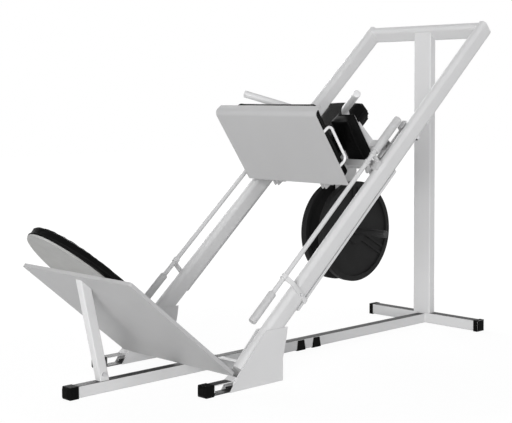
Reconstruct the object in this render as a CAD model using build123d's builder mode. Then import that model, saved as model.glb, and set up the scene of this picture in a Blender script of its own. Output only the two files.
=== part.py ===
from build123d import *
import os
from math import sin, cos, tan, radians, sqrt

os.makedirs("parts", exist_ok=True)

# Driving dimensions, millimetres and degrees
# +X runs from the backrest end to the rear post, Y = 0 is the plane of symmetry, the floor is Z = 0

# Inclined rails
rail_angle = 41.25
rail_length = 2060
rail_foot_z = 90
rail_gauge = 667
rail_width = 45
rail_depth = 78
rail_wall = 3
rail_corner = 7
plug_length = 20
plug_clearance = 0.2

# Flat strip welded under each rail
strip_width = 15
strip_depth = 12
strip_inset = 8
strip_start = 361
strip_length = 793

# Floor frame
floor_gap = 2
frame_wall = 2.5
frame_corner = 4
spine_width = 45
spine_height = 44
spine_ahead = 493
rear_foot_depth = 50
rear_foot_height = 49
rear_foot_half = 335
post_width = 100
post_depth = 40
post_corner = 5
crossbar_thickness = 40
stub_height = 41
stub_ahead = 132
stub_behind = 34
stub_wall = 4
window_ahead = 97
window_behind = 30
front_cross_width = 40
front_cross_behind = 197

# Rubber ends and saddle feet
cap_skin = 1.5
cap_clearance = 0.2
cap_chamfer = 9
cap_nose = 18
cap_grip = 30
rear_cap_length = 60
rear_cap_nose = 28
saddle_skin = 3.5
saddle_top = 36
saddle_bottom = 52
saddle_height = 44
saddle_places = (671, 768)

# Gusset plates at the front feet
gusset_thickness = 5
gusset_top_z = 210
gusset_toe = 50
gusset_heel = 227
gusset_waist_z = 89
gusset_hip = 248
gusset_hip_z = 170
gusset_head = 254

# Platform plate that carries the back pad
platform_angle = 38.4
platform_length = 621
platform_half = 345
platform_thickness = 14
platform_corner = 8
platform_drop = 12
tab_ahead = 36
tab_behind = 8
tab_drop = 28

# Front strut
strut_width = 35
strut_depth = 40
strut_lean = 12
strut_from_front = 119
strut_blank = 480
strut_wall = 2.5
strut_corner = 4
lug_height = 44
lug_length = 24
lug_clearance = 0.3
bolt_radius = 5
bolt_clearance = 0.3
bolt_head_radius = 9
bolt_head_height = 6
strut_bolt_height = 25

# Back pad
pad_tip = 255
pad_crown_start = 60
pad_end = 560
board_thickness = 12
board_half = 178
board_tip_extra = 7
cushion_half = 200
cushion_side = 31
cushion_crown = 8
cushion_draw = 4
cushion_corner = 36
cushion_edge = 9

# Lock rods above the rails
rod_radius = 9.5
rod_height = 61
rod_start = 176
rod_end = 1316
rod_running_gap = 0.05
lower_grip_radius = 16
lower_grip_length = 149
upper_grip_radius = 18
upper_grip_length = 202
grip_edge = 4
grip_end_wall = 6
strap_place = 394
strap_width = 20
strap_thickness = 5
strap_bow = 60
strap_low = 84
strap_mid_angle = 22
eye_wall = 4
nub_radius = 7
nub_length = 6
bracket_start = 1070
bracket_length = 42
bracket_width = 26
bracket_height = 18
bracket_offset = -1.5
bracket_eye_length = 14
catch_length = 20
catch_width = 12
catch_reach_y = 21
catch_reach_h = 48

# Sled frame between the rails
side_thickness = 8
side_gap = 8
sled_start = 1062
sled_end = 1402
side_top = 22
side_bottom = 116
side_chamfer = 26
sled_tube_depth = 40
sled_tube_height = 30
sled_tube_top = 3
sled_tube_wall = 2.5
sled_tube_corner = 3
front_tube_place = 1098
rear_tube_place = 1345
centre_tube_width = 60
lug_block_length = 20
lug_block_low = 4
lug_block_high = 20
lug_block_reach = 13
catch_gap = 0.6

# Rollers and keeper shoes
roller_radius = 14
roller_width = 14
roller_inset = 2
roller_gap = 0.3
roller_edge = 2
roller_places = (1120, 1372)
axle_radius = 5
axle_head_radius = 9
axle_head = 4
shoe_length = 46
shoe_height = 14
shoe_width = 15
shoe_edge = 3
shoe_places = (1165, 1350)

# Weight carrier, horn and discs
carrier_width = 60
carrier_depth = 84
carrier_wall = 4
carrier_corner = 6
carrier_behind = 988
horn_z = 499
carrier_below = 62
horn_radius = 16
horn_half = 240
horn_collar_radius = 30
horn_collar = 6
horn_edge = 3
horn_step = 0.25
horn_land = 2
horn_weld_gap = 0.2
disc_radius = 225
disc_thickness = 30
disc_bore_gap = 0.5
disc_seat_gap = 0.3
disc_rim = 24
disc_web = 12
disc_hub_radius = 56
disc_edge = 4
rib_width = 11
rib_spread = 16
rib_height = 6
rib_pairs = 3
rib_first_angle = 90

# Foot plate with the hack pad on its back
plate_low_t = 932
plate_low_h = 43
plate_tilt = 7.1
plate_straight = 345
plate_half = 303
plate_thickness = 4
plate_roll_radius = 24
plate_roll_tail = 24
plate_corner = 14
hack_board_half = 232
hack_board_thickness = 12
hack_board_low = 16
hack_board_top_gap = 5
hack_low = -4
hack_top_gap = 9
hack_half = 250
hack_side = 47
hack_crown = 9
hack_draw = 4
hack_corner = 26
hack_edge = 10
handle_wire = 6
handle_low = 95
handle_high = 268
handle_stand = 52
handle_bend = 22
handle_inset = 7

# Fold hinge of the foot plate
fold_v = -20
fold_w = 30
fold_half = 145
fold_pin_radius = 6
fold_pin_half = 17
fold_arm_thickness = 13
fold_cheek_thickness = 6
fold_cheek_gap = 0.5
fold_eye = 11
fold_tail = 32
fold_stop_length = 16
fold_stop_drop = 12
fold_stop_gap = 0.5
fold_running_gap = 0.05

# Shoulder pads, their frames and the bent handles
shoulder_place = 1139.5
shoulder_thickness = 56
shoulder_inner = 115
shoulder_width = 100
shoulder_low = -20
shoulder_length = 202
shoulder_corner = 6
shoulder_edge = 5
shoulder_crown = 3
shoulder_draw = 2
backplate_thickness = 5
backplate_inset = 8
horn_tube_radius = 16
horn_tube_wall = 3
horn_root_y = 140
horn_knee_h = 110
horn_elbow_y = 215
horn_elbow_h = 235
horn_tip_y = 345
horn_tip_h = 329
horn_tip_back = 29
horn_bend = 55
horn_plug = 4
wedge_thickness = 6
wedge_y = 200
wedge_height = 116
wedge_top = 28

# Head pad
head_start = 1075
head_end = 1402
head_half = 103
head_board_half = 90
head_board_inset = 10
head_side = 58
head_crown = 8
head_draw = 3
head_corner = 22
head_edge = 16

# Cutting shapes run past the solids they cut by these amounts
overrun = 400
blank_margin = 10

quarter_turn = 90
half_turn = 180
full_turn = 360


# The rail foot is placed so that X = 0 is the middle of the machine's length
platform_setback = platform_drop / tan(radians(rail_angle))
pad_reach = (platform_length + pad_tip + board_tip_extra) * cos(radians(platform_angle))
rail_reach = rail_length * cos(radians(rail_angle)) + rail_depth * sin(radians(rail_angle))
rail_foot_x = (platform_setback + pad_reach - rail_reach) / 2
spine_front_x = rail_foot_x - spine_ahead
carrier_x = rail_foot_x + carrier_behind

# The hack pad and its board end below the rolled edge of the foot plate
hack_length = plate_straight + plate_roll_radius - plate_thickness - hack_top_gap - hack_low
hack_board_high = plate_straight - hack_board_top_gap

# Frames of reference
rail_dir = Vector(cos(radians(rail_angle)), 0, sin(radians(rail_angle)))
rail_up = Vector(-sin(radians(rail_angle)), 0, cos(radians(rail_angle)))
rail_foot = Vector(rail_foot_x, 0, rail_foot_z)
rail_y = rail_gauge / 2
rail_inner_y = rail_y - rail_width / 2
rail_outer_y = rail_y + rail_width / 2
sides = (("left", 1), ("right", -1))


def rail_point(t, y, h):
    # t runs up the rail, h stands off its upper face
    return rail_foot + rail_dir * t + Vector(0, y, 0) + rail_up * h


def rail_side(y):
    # sketch plane parallel to Y = 0: local x up the rail, local y off its upper face, normal -Y
    return Plane(origin=rail_point(0, y, 0), x_dir=rail_dir, z_dir=(0, -1, 0))


def rail_across(t):
    # sketch plane square to the rail: local x = +Y, local y off the upper face, normal up the rail
    return Plane(origin=rail_point(t, 0, 0), x_dir=(0, 1, 0), z_dir=rail_dir)


def rail_over(h):
    # sketch plane parallel to the rail's upper face: local x up the rail, local y = +Y
    return Plane(origin=rail_point(0, 0, h), x_dir=rail_dir, z_dir=rail_up)


platform_dir = Vector(cos(radians(platform_angle)), 0, -sin(radians(platform_angle)))
platform_up = Vector(sin(radians(platform_angle)), 0, cos(radians(platform_angle)))
platform_foot = rail_foot - Vector(platform_setback, 0, platform_drop)
platform_top = platform_foot - platform_dir * platform_length


def platform_over(h):
    # parallel to the platform's upper face: local x down the slope from its top edge, local y = +Y
    return Plane(origin=platform_top + platform_up * h, x_dir=platform_dir, z_dir=platform_up)


plate_v = rail_up * cos(radians(plate_tilt)) + rail_dir * sin(radians(plate_tilt))
plate_w = rail_dir * cos(radians(plate_tilt)) - rail_up * sin(radians(plate_tilt))
plate_low = rail_point(plate_low_t, 0, plate_low_h)


def plate_side(y):
    # side view of the foot plate: local x backwards from its face, local y up its face, normal -Y
    return Plane(origin=plate_low + Vector(0, y, 0), x_dir=plate_w, z_dir=(0, -1, 0))


def plate_behind(w):
    # parallel to the foot plate's face: local x up the plate, local y = -Y, normal backwards
    return Plane(origin=plate_low + plate_w * w, x_dir=plate_v, z_dir=plate_w)


def tube_section(width, height, wall, corner):
    # hollow rounded rectangle, drawn in the sketch that is open
    RectangleRounded(width, height, corner)
    RectangleRounded(width - 2 * wall, height - 2 * wall, max(corner - wall, wall / 2), mode=Mode.SUBTRACT)


def crown_section(half, base, side, crown):
    # section of a pad under a shallow arch, drawn in the sketch that is open
    arch_radius = (half**2 + crown**2) / (2 * crown)
    top = base + side + crown
    with Locations((0, top - arch_radius)):
        Circle(arch_radius)
    with Locations((0, (base + top) / 2)):
        Rectangle(2 * half + 2 * blank_margin, top - base + 2 * blank_margin, mode=Mode.INTERSECT)


def crowned_cushion(plane, length, half, side, crown, draw, corner, edge):
    # pad with drawn-in sides, crowned across its width, rounded over along its rim
    with BuildPart() as cushion:
        with BuildSketch(plane):
            with BuildLine():
                ThreePointArc((0, half), (length / 2, half - draw), (length, half))
                ThreePointArc((length, half), (length - draw, 0), (length, -half))
                ThreePointArc((length, -half), (length / 2, draw - half), (0, -half))
                ThreePointArc((0, -half), (draw, 0), (0, half))
            make_face()
            fillet(vertices(), radius=corner)
        extrude(amount=side + crown + blank_margin)
        start = plane.origin - plane.x_dir * blank_margin
        with BuildSketch(Plane(origin=start, x_dir=plane.y_dir, z_dir=plane.x_dir)):
            crown_section(half, 0, side, crown)
        extrude(amount=length + 2 * blank_margin, mode=Mode.INTERSECT)
        rim = cushion.edges().filter_by(lambda e: plane.to_local_coords(e.center()).Z > side / 2)
        rim = rim.filter_by(lambda e: plane.to_local_coords(e.center()).Z > side - draw)
        fillet(rim, radius=edge)
    return cushion.part


# Central spine, a square tube from the front cap to the rear foot
crossbar_low = rail_length - crossbar_thickness
post_front_x = rail_point(crossbar_low, 0, 0).X + post_depth * sin(radians(rail_angle)) / 2
rear_foot_x = post_front_x
spine_length = rear_foot_x - spine_front_x
spine_axis_z = floor_gap + spine_height / 2
with BuildPart() as spine:
    with BuildSketch(Plane.YZ.offset(spine_front_x)):
        with Locations((0, spine_axis_z)):
            tube_section(spine_width, spine_height, frame_wall, frame_corner)
    extrude(amount=spine_length)
spine.part.label = "spine"
export_step(spine.part, "parts/spine.step")

# Rubber cap on the spine's front end
with BuildPart() as spine_cap:
    with BuildSketch(Plane.YZ.offset(spine_front_x - cap_nose)):
        with Locations((0, (floor_gap + spine_height + cap_skin) / 2)):
            Rectangle(spine_width + 2 * cap_skin, floor_gap + spine_height + cap_skin)
    extrude(amount=cap_nose + cap_grip)
    chamfer(spine_cap.faces().sort_by(Axis.X)[0].edges(), length=cap_chamfer)
    with BuildSketch(Plane.YZ.offset(spine_front_x)):
        with Locations((0, spine_axis_z)):
            Rectangle(spine_width + 2 * cap_clearance, spine_height + 2 * cap_clearance)
    extrude(amount=cap_grip, mode=Mode.SUBTRACT)
spine_cap.part.label = "spine_cap"
export_step(spine_cap.part, "parts/spine_cap.step")

# Two rubber saddle feet that wrap the spine from below
with BuildPart() as spine_feet:
    for place in saddle_places:
        saddle_x = rail_foot_x + place
        with BuildSketch(Plane.XZ.offset(-spine_width / 2 - saddle_skin)):
            with BuildLine():
                Polyline(
                    (saddle_x - saddle_bottom / 2, 0),
                    (saddle_x + saddle_bottom / 2, 0),
                    (saddle_x + saddle_top / 2, saddle_height),
                    (saddle_x - saddle_top / 2, saddle_height),
                    close=True,
                )
            make_face()
        extrude(amount=spine_width + 2 * saddle_skin)
    with BuildSketch(Plane.YZ.offset(rail_foot_x + saddle_places[0] - saddle_bottom)):
        with Locations((0, spine_axis_z)):
            Rectangle(spine_width + 2 * cap_clearance, spine_height + 2 * cap_clearance)
    extrude(amount=saddle_places[1] - saddle_places[0] + 2 * saddle_bottom, mode=Mode.SUBTRACT)
spine_feet.part.label = "spine_feet"
export_step(spine_feet.part, "parts/spine_feet.step")

# Rear foot, a transverse square tube
rear_foot_z = floor_gap + rear_foot_height / 2
with BuildPart() as rear_foot:
    with BuildSketch(Plane.XZ.offset(-rear_foot_half)):
        with Locations((rear_foot_x + rear_foot_depth / 2, rear_foot_z)):
            tube_section(rear_foot_depth, rear_foot_height, frame_wall, frame_corner)
    extrude(amount=2 * rear_foot_half)
rear_foot.part.label = "rear_foot"
export_step(rear_foot.part, "parts/rear_foot.step")

# Rubber caps on both ends of the rear foot
rear_cap_inner = rear_foot_half + rear_cap_nose - rear_cap_length
with BuildPart() as rear_foot_caps:
    with BuildSketch(Plane.XZ.offset(-rear_foot_half - rear_cap_nose)):
        with Locations((rear_foot_x + rear_foot_depth / 2, (floor_gap + rear_foot_height + cap_skin) / 2)):
            Rectangle(rear_foot_depth + 2 * cap_skin, floor_gap + rear_foot_height + cap_skin)
    extrude(amount=2 * (rear_foot_half + rear_cap_nose))
    chamfer(rear_foot_caps.faces().sort_by(Axis.Y)[0].edges(), length=cap_chamfer)
    chamfer(rear_foot_caps.faces().sort_by(Axis.Y)[-1].edges(), length=cap_chamfer)
    with BuildSketch(Plane.XZ.offset(-rear_foot_half)):
        with Locations((rear_foot_x + rear_foot_depth / 2, rear_foot_z)):
            Rectangle(rear_foot_depth + 2 * cap_clearance, rear_foot_height + 2 * cap_clearance)
    extrude(amount=2 * rear_foot_half, mode=Mode.SUBTRACT)
    with BuildSketch(Plane.XZ.offset(-rear_cap_inner)):
        with Locations((rear_foot_x + rear_foot_depth / 2, rear_foot_z)):
            Rectangle(2 * rear_foot_depth, 2 * rear_foot_height + overrun)
    extrude(amount=2 * rear_cap_inner, mode=Mode.SUBTRACT)
rear_foot_caps.part.label = "rear_foot_caps"
export_step(rear_foot_caps.part, "parts/rear_foot_caps.step")

# Rear upright, cut square to the rails where it meets the top crossbar
post_base_z = floor_gap + rear_foot_height
with BuildPart() as upright_post:
    with BuildSketch(Plane.XY.offset(post_base_z)):
        with Locations((post_front_x + post_depth / 2, 0)):
            tube_section(post_depth, post_width, frame_wall, post_corner)
    extrude(amount=rail_point(rail_length, 0, 0).Z - post_base_z)
    split(bisect_by=rail_across(crossbar_low), keep=Keep.BOTTOM)
upright_post.part.label = "upright_post"
export_step(upright_post.part, "parts/upright_post.step")

# Top crossbar between the upper ends of the rails
with BuildPart() as top_crossbar:
    with BuildSketch(rail_side(rail_inner_y)):
        with Locations((crossbar_low + crossbar_thickness / 2, -rail_depth / 2)):
            tube_section(crossbar_thickness, rail_depth, frame_wall, rail_corner)
    extrude(amount=2 * rail_inner_y)
top_crossbar.part.label = "top_crossbar"
export_step(top_crossbar.part, "parts/top_crossbar.step")

# Inclined rails, deep rectangular tubes
for side, sign in sides:
    with BuildPart() as rail:
        with BuildSketch(rail_across(0)):
            with Locations((sign * rail_y, -rail_depth / 2)):
                tube_section(rail_width, rail_depth, rail_wall, rail_corner)
        extrude(amount=rail_length)
    rail.part.label = f"rail_{side}"
    export_step(rail.part, f"parts/rail_{side}.step")

# Plugs that close both ends of both rails
plug_inset = rail_wall + plug_clearance
plug_width = rail_width - 2 * plug_inset
plug_depth = rail_depth - 2 * plug_inset
with BuildPart() as rail_plugs:
    for place in (0, rail_length - plug_length):
        with BuildSketch(rail_across(place)):
            with Locations((rail_y, -rail_depth / 2), (-rail_y, -rail_depth / 2)):
                RectangleRounded(plug_width, plug_depth, rail_corner - plug_inset)
        extrude(amount=plug_length)
rail_plugs.part.label = "rail_plugs"
export_step(rail_plugs.part, "parts/rail_plugs.step")

# Flat strips under the rails
strip_y = rail_outer_y - strip_inset - strip_width / 2
with BuildPart() as rail_strips:
    with BuildSketch(rail_across(strip_start)):
        with Locations((strip_y, -rail_depth - strip_depth / 2), (-strip_y, -rail_depth - strip_depth / 2)):
            Rectangle(strip_width, strip_depth)
    extrude(amount=strip_length)
rail_strips.part.label = "rail_strips"
export_step(rail_strips.part, "parts/rail_strips.step")

# Gusset plates either side of each rail's lower end
gusset_nose_z = rail_foot_z - platform_drop
gusset_nose_x = rail_foot_x - platform_setback
gusset_brow_x = rail_foot_x + (gusset_top_z - rail_foot_z) / tan(radians(rail_angle))
gusset_outline = (
    (gusset_nose_x, gusset_nose_z),
    (rail_foot_x - gusset_toe, floor_gap),
    (rail_foot_x + gusset_heel, floor_gap),
    (rail_foot_x + gusset_heel, gusset_waist_z),
    (rail_foot_x + gusset_hip, gusset_hip_z),
    (rail_foot_x + gusset_head, gusset_top_z),
    (gusset_brow_x, gusset_top_z),
)
with BuildPart() as gussets:
    for side, sign in sides:
        for face_y in (rail_inner_y, rail_outer_y + gusset_thickness):
            with BuildSketch(Plane.XZ.offset(-sign * face_y)):
                with BuildLine():
                    Polyline(*gusset_outline, close=True)
                make_face()
            extrude(amount=sign * gusset_thickness)
gussets.part.label = "gussets"
export_step(gussets.part, "parts/gussets.step")

# Front foot stubs with a window through both side walls
stub_front_x = rail_foot_x - stub_ahead
stub_z = floor_gap + stub_height / 2
with BuildPart() as foot_stubs:
    with BuildSketch(Plane.YZ.offset(stub_front_x)):
        for side, sign in sides:
            with Locations((sign * rail_y, stub_z)):
                tube_section(rail_width, stub_height, stub_wall, frame_corner)
    extrude(amount=stub_ahead + stub_behind)
    with BuildSketch(Plane.XZ.offset(-rail_outer_y)):
        with Locations((rail_foot_x - (window_ahead + window_behind) / 2, stub_z)):
            Rectangle(window_ahead - window_behind, stub_height - 2 * stub_wall)
    extrude(amount=2 * rail_outer_y, mode=Mode.SUBTRACT)
foot_stubs.part.label = "foot_stubs"
export_step(foot_stubs.part, "parts/foot_stubs.step")

# Rubber caps on the front foot stubs
with BuildPart() as foot_stub_caps:
    for side, sign in sides:
        with BuildSketch(Plane.YZ.offset(stub_front_x - cap_nose)):
            with Locations((sign * rail_y, (floor_gap + stub_height + cap_skin) / 2)):
                Rectangle(rail_width + 2 * cap_skin, floor_gap + stub_height + cap_skin)
        extrude(amount=cap_nose + cap_grip)
    chamfer(foot_stub_caps.faces().filter_by(Axis.X).group_by(Axis.X)[0].edges(), length=cap_chamfer)
    with BuildSketch(Plane.YZ.offset(stub_front_x)):
        with Locations((rail_y, stub_z), (-rail_y, stub_z)):
            Rectangle(rail_width + 2 * cap_clearance, stub_height + 2 * cap_clearance)
    extrude(amount=cap_grip, mode=Mode.SUBTRACT)
foot_stub_caps.part.label = "foot_stub_caps"
export_step(foot_stub_caps.part, "parts/foot_stub_caps.step")

# Cross tubes from the spine's sides to the inner gussets
cross_outer_y = rail_inner_y - gusset_thickness
with BuildPart() as front_cross_tubes:
    for side, sign in sides:
        with BuildSketch(Plane.XZ.offset(-sign * spine_width / 2)):
            with Locations((rail_foot_x + front_cross_behind, spine_axis_z)):
                tube_section(front_cross_width, spine_height, frame_wall, frame_corner)
        extrude(amount=-sign * (cross_outer_y - spine_width / 2))
front_cross_tubes.part.label = "front_cross_tubes"
export_step(front_cross_tubes.part, "parts/front_cross_tubes.step")

# Platform plate
with BuildPart() as platform_plate:
    with BuildSketch(platform_over(-platform_thickness)):
        with Locations((platform_length / 2, 0)):
            RectangleRounded(platform_length, 2 * platform_half, platform_corner)
    extrude(amount=platform_thickness)
platform_plate.part.label = "platform_plate"
export_step(platform_plate.part, "parts/platform_plate.step")

# Tabs that tie the platform's lower edge to the gussets
with BuildPart() as platform_tabs:
    with BuildSketch(Plane.XZ.offset(-rail_outer_y)):
        with BuildLine():
            Polyline(
                (gusset_nose_x - tab_ahead, platform_foot.Z - tab_drop),
                (gusset_nose_x + tab_behind, platform_foot.Z - tab_drop),
                (gusset_nose_x + tab_behind, platform_foot.Z + tab_drop),
                (gusset_nose_x - tab_ahead, platform_foot.Z + tab_drop),
                close=True,
            )
        make_face()
    extrude(amount=2 * rail_outer_y)
    with BuildSketch(Plane.XZ.offset(-rail_inner_y)):
        with Locations((gusset_nose_x, platform_foot.Z)):
            Rectangle(4 * tab_ahead, 4 * tab_drop)
    extrude(amount=2 * rail_inner_y, mode=Mode.SUBTRACT)
    split(bisect_by=platform_over(-platform_thickness), keep=Keep.BOTTOM)
    split(bisect_by=rail_over(0), keep=Keep.BOTTOM)
    split(bisect_by=rail_across(0), keep=Keep.BOTTOM)
platform_tabs.part.label = "platform_tabs"
export_step(platform_tabs.part, "parts/platform_tabs.step")

# Front strut, leaning forward from the spine to the platform's underside
strut_foot = Vector(spine_front_x + strut_from_front, 0, floor_gap + spine_height)
strut_dir = Vector(-sin(radians(strut_lean)), 0, cos(radians(strut_lean)))
strut_bolt = strut_foot + strut_dir * (strut_bolt_height / cos(radians(strut_lean)))


def strut_across(place):
    return Plane(origin=strut_foot + strut_dir * place, x_dir=(0, 1, 0), z_dir=strut_dir)


with BuildPart() as front_strut:
    with BuildSketch(strut_across(-strut_depth)):
        tube_section(strut_width, strut_depth, strut_wall, strut_corner)
    extrude(amount=strut_blank)
    split(bisect_by=Plane.XY.offset(floor_gap + spine_height), keep=Keep.TOP)
    split(bisect_by=platform_over(-platform_thickness), keep=Keep.BOTTOM)
    with BuildSketch(Plane.XZ.offset(-strut_width)):
        with Locations((strut_bolt.X, strut_bolt.Z)):
            Circle(bolt_radius + bolt_clearance)
    extrude(amount=2 * strut_width, mode=Mode.SUBTRACT)
front_strut.part.label = "front_strut"
export_step(front_strut.part, "parts/front_strut.step")

# Lug on the spine that the strut is bolted to
lug_width = strut_width - 2 * strut_wall - 2 * lug_clearance
with BuildPart() as strut_lug:
    with BuildSketch(strut_across(-strut_depth)):
        Rectangle(lug_width, lug_length)
    extrude(amount=strut_depth + lug_height)
    split(bisect_by=Plane.XY.offset(floor_gap + spine_height), keep=Keep.TOP)
    with BuildSketch(Plane.XZ.offset(-strut_width)):
        with Locations((strut_bolt.X, strut_bolt.Z)):
            Circle(bolt_radius + bolt_clearance)
    extrude(amount=2 * strut_width, mode=Mode.SUBTRACT)
strut_lug.part.label = "strut_lug"
export_step(strut_lug.part, "parts/strut_lug.step")

# Through bolt with a round head at each side of the strut
with BuildPart() as strut_bolt_pin:
    for face_y, amount, radius in (
        (strut_width / 2 + bolt_head_height, bolt_head_height, bolt_head_radius),
        (strut_width / 2, strut_width, bolt_radius),
        (-strut_width / 2, bolt_head_height, bolt_head_radius),
    ):
        with BuildSketch(Plane.XZ.offset(-face_y)):
            with Locations((strut_bolt.X, strut_bolt.Z)):
                Circle(radius)
        extrude(amount=amount)
strut_bolt_pin.part.label = "strut_bolt"
export_step(strut_bolt_pin.part, "parts/strut_bolt.step")

# Board under the back cushion, with a half-elliptical head end
with BuildPart() as pad_board:
    with BuildSketch(platform_over(0)):
        with BuildLine():
            head_arc = EllipticalCenterArc(
                (pad_crown_start, 0), pad_tip + board_tip_extra + pad_crown_start, board_half,
                start_angle=quarter_turn, arc_size=half_turn,
            )
            Polyline(head_arc @ 1, (pad_end, -board_half), (pad_end, board_half), head_arc @ 0)
        make_face()
    extrude(amount=board_thickness)
pad_board.part.label = "pad_board"
export_step(pad_board.part, "parts/pad_board.step")

# Back cushion, crowned across its width
corner_cut = cushion_corner * (1 - sqrt(1 / 2))
with BuildPart() as back_cushion:
    with BuildSketch(platform_over(board_thickness)):
        with BuildLine():
            head_arc = EllipticalCenterArc(
                (pad_crown_start, 0), pad_tip + pad_crown_start, cushion_half,
                start_angle=quarter_turn, arc_size=half_turn,
            )
            Line(head_arc @ 1, (pad_end - cushion_corner, -cushion_half))
            ThreePointArc(
                (pad_end - cushion_corner, -cushion_half),
                (pad_end - corner_cut, corner_cut - cushion_half),
                (pad_end, cushion_corner - cushion_half),
            )
            ThreePointArc(
                (pad_end, cushion_corner - cushion_half),
                (pad_end - cushion_draw, 0),
                (pad_end, cushion_half - cushion_corner),
            )
            ThreePointArc(
                (pad_end, cushion_half - cushion_corner),
                (pad_end - corner_cut, cushion_half - corner_cut),
                (pad_end - cushion_corner, cushion_half),
            )
            Line((pad_end - cushion_corner, cushion_half), head_arc @ 0)
        make_face()
    extrude(amount=cushion_side + cushion_crown + blank_margin)
    crown_start = platform_top - platform_dir * (pad_tip + blank_margin)
    with BuildSketch(Plane(origin=crown_start, x_dir=(0, 1, 0), z_dir=platform_dir)):
        crown_section(cushion_half, board_thickness, cushion_side, cushion_crown)
    extrude(amount=pad_tip + pad_end + 2 * blank_margin, mode=Mode.INTERSECT)
    cushion_rim = back_cushion.edges().filter_by(
        lambda e: platform_over(board_thickness).to_local_coords(e.center()).Z > cushion_side - cushion_edge
    )
    fillet(cushion_rim, radius=cushion_edge)
back_cushion.part.label = "back_cushion"
export_step(back_cushion.part, "parts/back_cushion.step")

# Straps that carry the lock rods at their lower ends, bent round the rails' outer sides
strap_bow_y = rail_outer_y + strap_thickness / 2 - strap_bow
strap_rise = sqrt(strap_bow**2 - (rail_y - strap_bow_y) ** 2)
strap_bow_h = rod_height - strap_rise
strap_half_angle = radians(strap_mid_angle)
rod_hole_radius = rod_radius + rod_running_gap
eye_radius = rod_hole_radius + eye_wall
with BuildPart() as rod_straps:
    for side, sign in sides:
        with BuildSketch(rail_across(strap_place)):
            with BuildLine():
                inner_bow = strap_bow - strap_thickness / 2
                outer_bow = strap_bow + strap_thickness / 2
                end_cos = (rail_y - strap_bow_y) / strap_bow
                end_sin = strap_rise / strap_bow
                mid_cos = cos(strap_half_angle)
                mid_sin = sin(strap_half_angle)
                ThreePointArc(
                    (sign * (strap_bow_y + inner_bow), strap_bow_h),
                    (sign * (strap_bow_y + inner_bow * mid_cos), strap_bow_h + inner_bow * mid_sin),
                    (sign * (strap_bow_y + inner_bow * end_cos), strap_bow_h + inner_bow * end_sin),
                )
                Line(
                    (sign * (strap_bow_y + inner_bow * end_cos), strap_bow_h + inner_bow * end_sin),
                    (sign * (strap_bow_y + outer_bow * end_cos), strap_bow_h + outer_bow * end_sin),
                )
                ThreePointArc(
                    (sign * (strap_bow_y + outer_bow * end_cos), strap_bow_h + outer_bow * end_sin),
                    (sign * (strap_bow_y + outer_bow * mid_cos), strap_bow_h + outer_bow * mid_sin),
                    (sign * (strap_bow_y + outer_bow), strap_bow_h),
                )
                Polyline(
                    (sign * (strap_bow_y + outer_bow), strap_bow_h),
                    (sign * (strap_bow_y + outer_bow), -strap_low),
                    (sign * (strap_bow_y + inner_bow), -strap_low),
                    (sign * (strap_bow_y + inner_bow), strap_bow_h),
                )
            make_face()
            with Locations((sign * rail_y, rod_height)):
                Circle(eye_radius)
                Circle(rod_hole_radius, mode=Mode.SUBTRACT)
        extrude(amount=strap_width)
rod_straps.part.label = "rod_straps"
export_step(rod_straps.part, "parts/rod_straps.step")

# Round nubs that fix the straps to the rails
nub_h = -rail_depth / 2
nub_face_y = rail_outer_y + strap_thickness
with BuildPart() as strap_nubs:
    for side, sign in sides:
        with BuildSketch(rail_side(sign * nub_face_y)):
            with Locations((strap_place + strap_width / 2, nub_h)):
                Circle(nub_radius)
        extrude(amount=-sign * nub_length)
strap_nubs.part.label = "strap_nubs"
export_step(strap_nubs.part, "parts/strap_nubs.step")

# Bearing brackets on the rails at the upper grips
with BuildPart() as rod_brackets:
    for side, sign in sides:
        with BuildSketch(rail_across(bracket_start)):
            with Locations((sign * (rail_y + bracket_offset), bracket_height / 2)):
                Rectangle(bracket_width, bracket_height)
        extrude(amount=bracket_length)
        with BuildSketch(rail_across(bracket_start + bracket_length - bracket_eye_length)):
            with Locations((sign * rail_y, rod_height)):
                Circle(eye_radius)
            with Locations((sign * rail_y, rod_height / 2)):
                Rectangle(eye_radius, rod_height)
        extrude(amount=bracket_eye_length)
        with BuildSketch(rail_across(bracket_start)):
            with Locations((sign * rail_y, rod_height)):
                Circle(rod_hole_radius)
        extrude(amount=bracket_length, mode=Mode.SUBTRACT)
rod_brackets.part.label = "rod_brackets"
export_step(rod_brackets.part, "parts/rod_brackets.step")

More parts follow.
